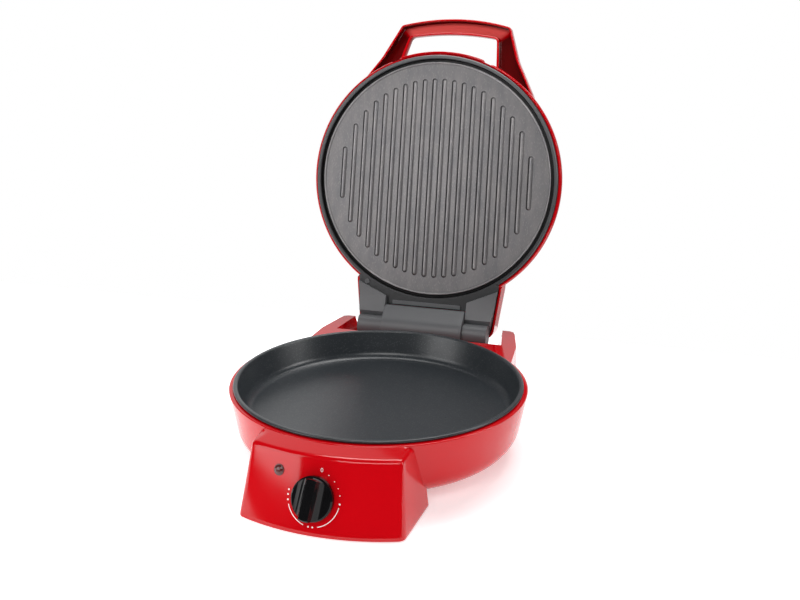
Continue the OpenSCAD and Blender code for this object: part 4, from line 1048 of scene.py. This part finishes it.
class COOKER_OT_stage(bpy.types.Operator):
    """Pale floor, soft lights and the camera at the photograph's angle"""

    bl_idname = "cooker.stage"
    bl_label = "Stage"

    def execute(self, context):
        scene = context.scene
        camera = new_object("view_camera", bpy.data.cameras.new("view_camera"))
        camera.location = (0.3345, -1.1914, 0.5408)
        aim = Vector((0, -0.0852, 0.3573)) - camera.location
        camera.rotation_euler = aim.to_track_quat("-Z", "Y").to_euler()
        camera.data.sensor_width = 36
        camera.data.lens = 49.30
        camera.data.shift_x = 0.027
        camera.data.shift_y = -0.214
        scene.camera = camera

        floor = bpy.data.meshes.new("floor")
        left, right, front, rear = -0.85, 0.68, -0.8, 0.32
        floor.from_pydata(
            [(left, front, 0), (right, front, 0), (right, rear, 0), (left, rear, 0)], [],
            [(0, 1, 2, 3)])
        ground = new_object("floor", floor)
        white, tree = new_material("floor_white")
        if tree:
            # The floor glows, dimly near the object and fully from half a metre off: painted light
            # that keeps the far floor white.
            place = new_node(tree, "ShaderNodeTexCoord").outputs["Object"]
            away = new_node(tree, "ShaderNodeVectorMath", {0: place, 1: (0.15, 0, 0)},
                            operation="DISTANCE").outputs["Value"]
            wire(tree, tree.nodes["Principled BSDF"], {
                "Base Color": (0.85, 0.85, 0.855, 1), "Roughness": 0.6,
                "Specular IOR Level": 0.2, "Emission Color": (1, 1, 1, 1),
                "Emission Strength": ranged(tree, away, (0.22, 0.5), (0.4, 1.1))})
        floor.materials.append(white)

        self.softbox("top_light", (0.1, 0.75, 1.9), (0, 0, 0.1), 1.6, 1.0, 34)
        self.softbox("left_light", (-1.369, -1.453, 1.099), (-0.735, -0.68, 1.099), 1.0, 1.9, 22, 7.9)
        self.softbox("right_light", (1.7, 0.1, 0.75), (0, -0.1, 0.05), 0.7, 0.7, 11)
        self.softbox("front_light", (0.3, -2.1, 1.9), (0, 0.1, 0.25), 1.6, 0.8, 25)
        self.surround()
        scene.view_settings.view_transform = "Standard"
        return {"FINISHED"}

    @staticmethod
    def softbox(name, place, aim, width, height, power, roll=0.0):
        """An area light that faces a point, rolled about its axis by an angle in degrees."""
        lamp = bpy.data.lights.new(name, "AREA")
        lamp.shape = "RECTANGLE"
        lamp.size, lamp.size_y = width, height
        lamp.energy = power
        box = new_object(name, lamp)
        box.location = place
        face = (Vector(aim) - Vector(place)).to_track_quat("-Z", "Y")
        box.rotation_euler = (face @ Quaternion((0, 0, 1), math.radians(roll))).to_euler()

    @staticmethod
    def surround():
        """White backdrop to the eye; to the object, bright behind on the left, dim elsewhere."""
        world = bpy.data.worlds.get("World") or bpy.data.worlds.new("World")
        bpy.context.scene.world = world
        world.use_nodes = True
        tree = world.node_tree
        tree.nodes.clear()
        place = new_node(tree, "ShaderNodeTexCoord").outputs["Generated"]
        rear = new_node(tree, "ShaderNodeVectorMath", {0: place, 1: (-0.5, 0.87, 0)},
                        operation="DOT_PRODUCT").outputs["Value"]
        glow = ranged(tree, rear, (0.6, 1.0), (0.06, 1.2))
        felt = new_node(tree, "ShaderNodeBackground", {"Color": glow, "Strength": 1.0})
        seen = new_node(tree, "ShaderNodeBackground", {"Color": (1, 1, 1, 1), "Strength": 1.0})
        eye = new_node(tree, "ShaderNodeLightPath").outputs["Is Camera Ray"]
        mix = new_node(
            tree, "ShaderNodeMixShader", {0: eye, 1: felt.outputs[0], 2: seen.outputs[0]})
        new_node(tree, "ShaderNodeOutputWorld", {0: mix.outputs[0]})


# Panel and start


class COOKER_PT_panel(bpy.types.Panel):
    """Lists the sizes, colours and steps of the cooker"""

    bl_idname = "COOKER_PT_panel"
    bl_label = "Cooker"
    bl_space_type = "VIEW_3D"
    bl_region_type = "UI"
    bl_category = "Cooker"

    def draw(self, context):
        for name, group in GROUPS.items():
            box = self.layout.box()
            box.label(text=name.replace("cooker_", "").capitalize())
            for prop in group.__annotations__:
                box.prop(getattr(context.scene, name), prop)
        for operator in OPERATORS:
            self.layout.operator(operator.bl_idname)


GROUPS = {
    "cooker_bowl": BowlSizes,
    "cooker_panel": PanelSizes,
    "cooker_lid": LidSizes,
    "cooker_handle": HandleSizes,
    "cooker_plate": PlateSizes,
    "cooker_colours": FinishColours,
}
OPERATORS = (
    COOKER_OT_stage, COOKER_OT_bowl, COOKER_OT_pan, COOKER_OT_front_block,
    COOKER_OT_dial_marks, COOKER_OT_lens, COOKER_OT_dome, COOKER_OT_lip, COOKER_OT_tail,
    COOKER_OT_handle, COOKER_OT_grill_plate, COOKER_OT_solids)
CLASSES = (*GROUPS.values(), *OPERATORS, COOKER_PT_panel)


def register():
    for cls in CLASSES:
        bpy.utils.register_class(cls)
    for name, group in GROUPS.items():
        setattr(bpy.types.Scene, name, bpy.props.PointerProperty(type=group))


def unregister():
    for name in GROUPS:
        delattr(bpy.types.Scene, name)
    for cls in reversed(CLASSES):
        bpy.utils.unregister_class(cls)


def main():
    register()
    for operator in OPERATORS:
        getattr(bpy.ops.cooker, operator.bl_idname.split(".")[1])()


if __name__ == "__main__":
    main()
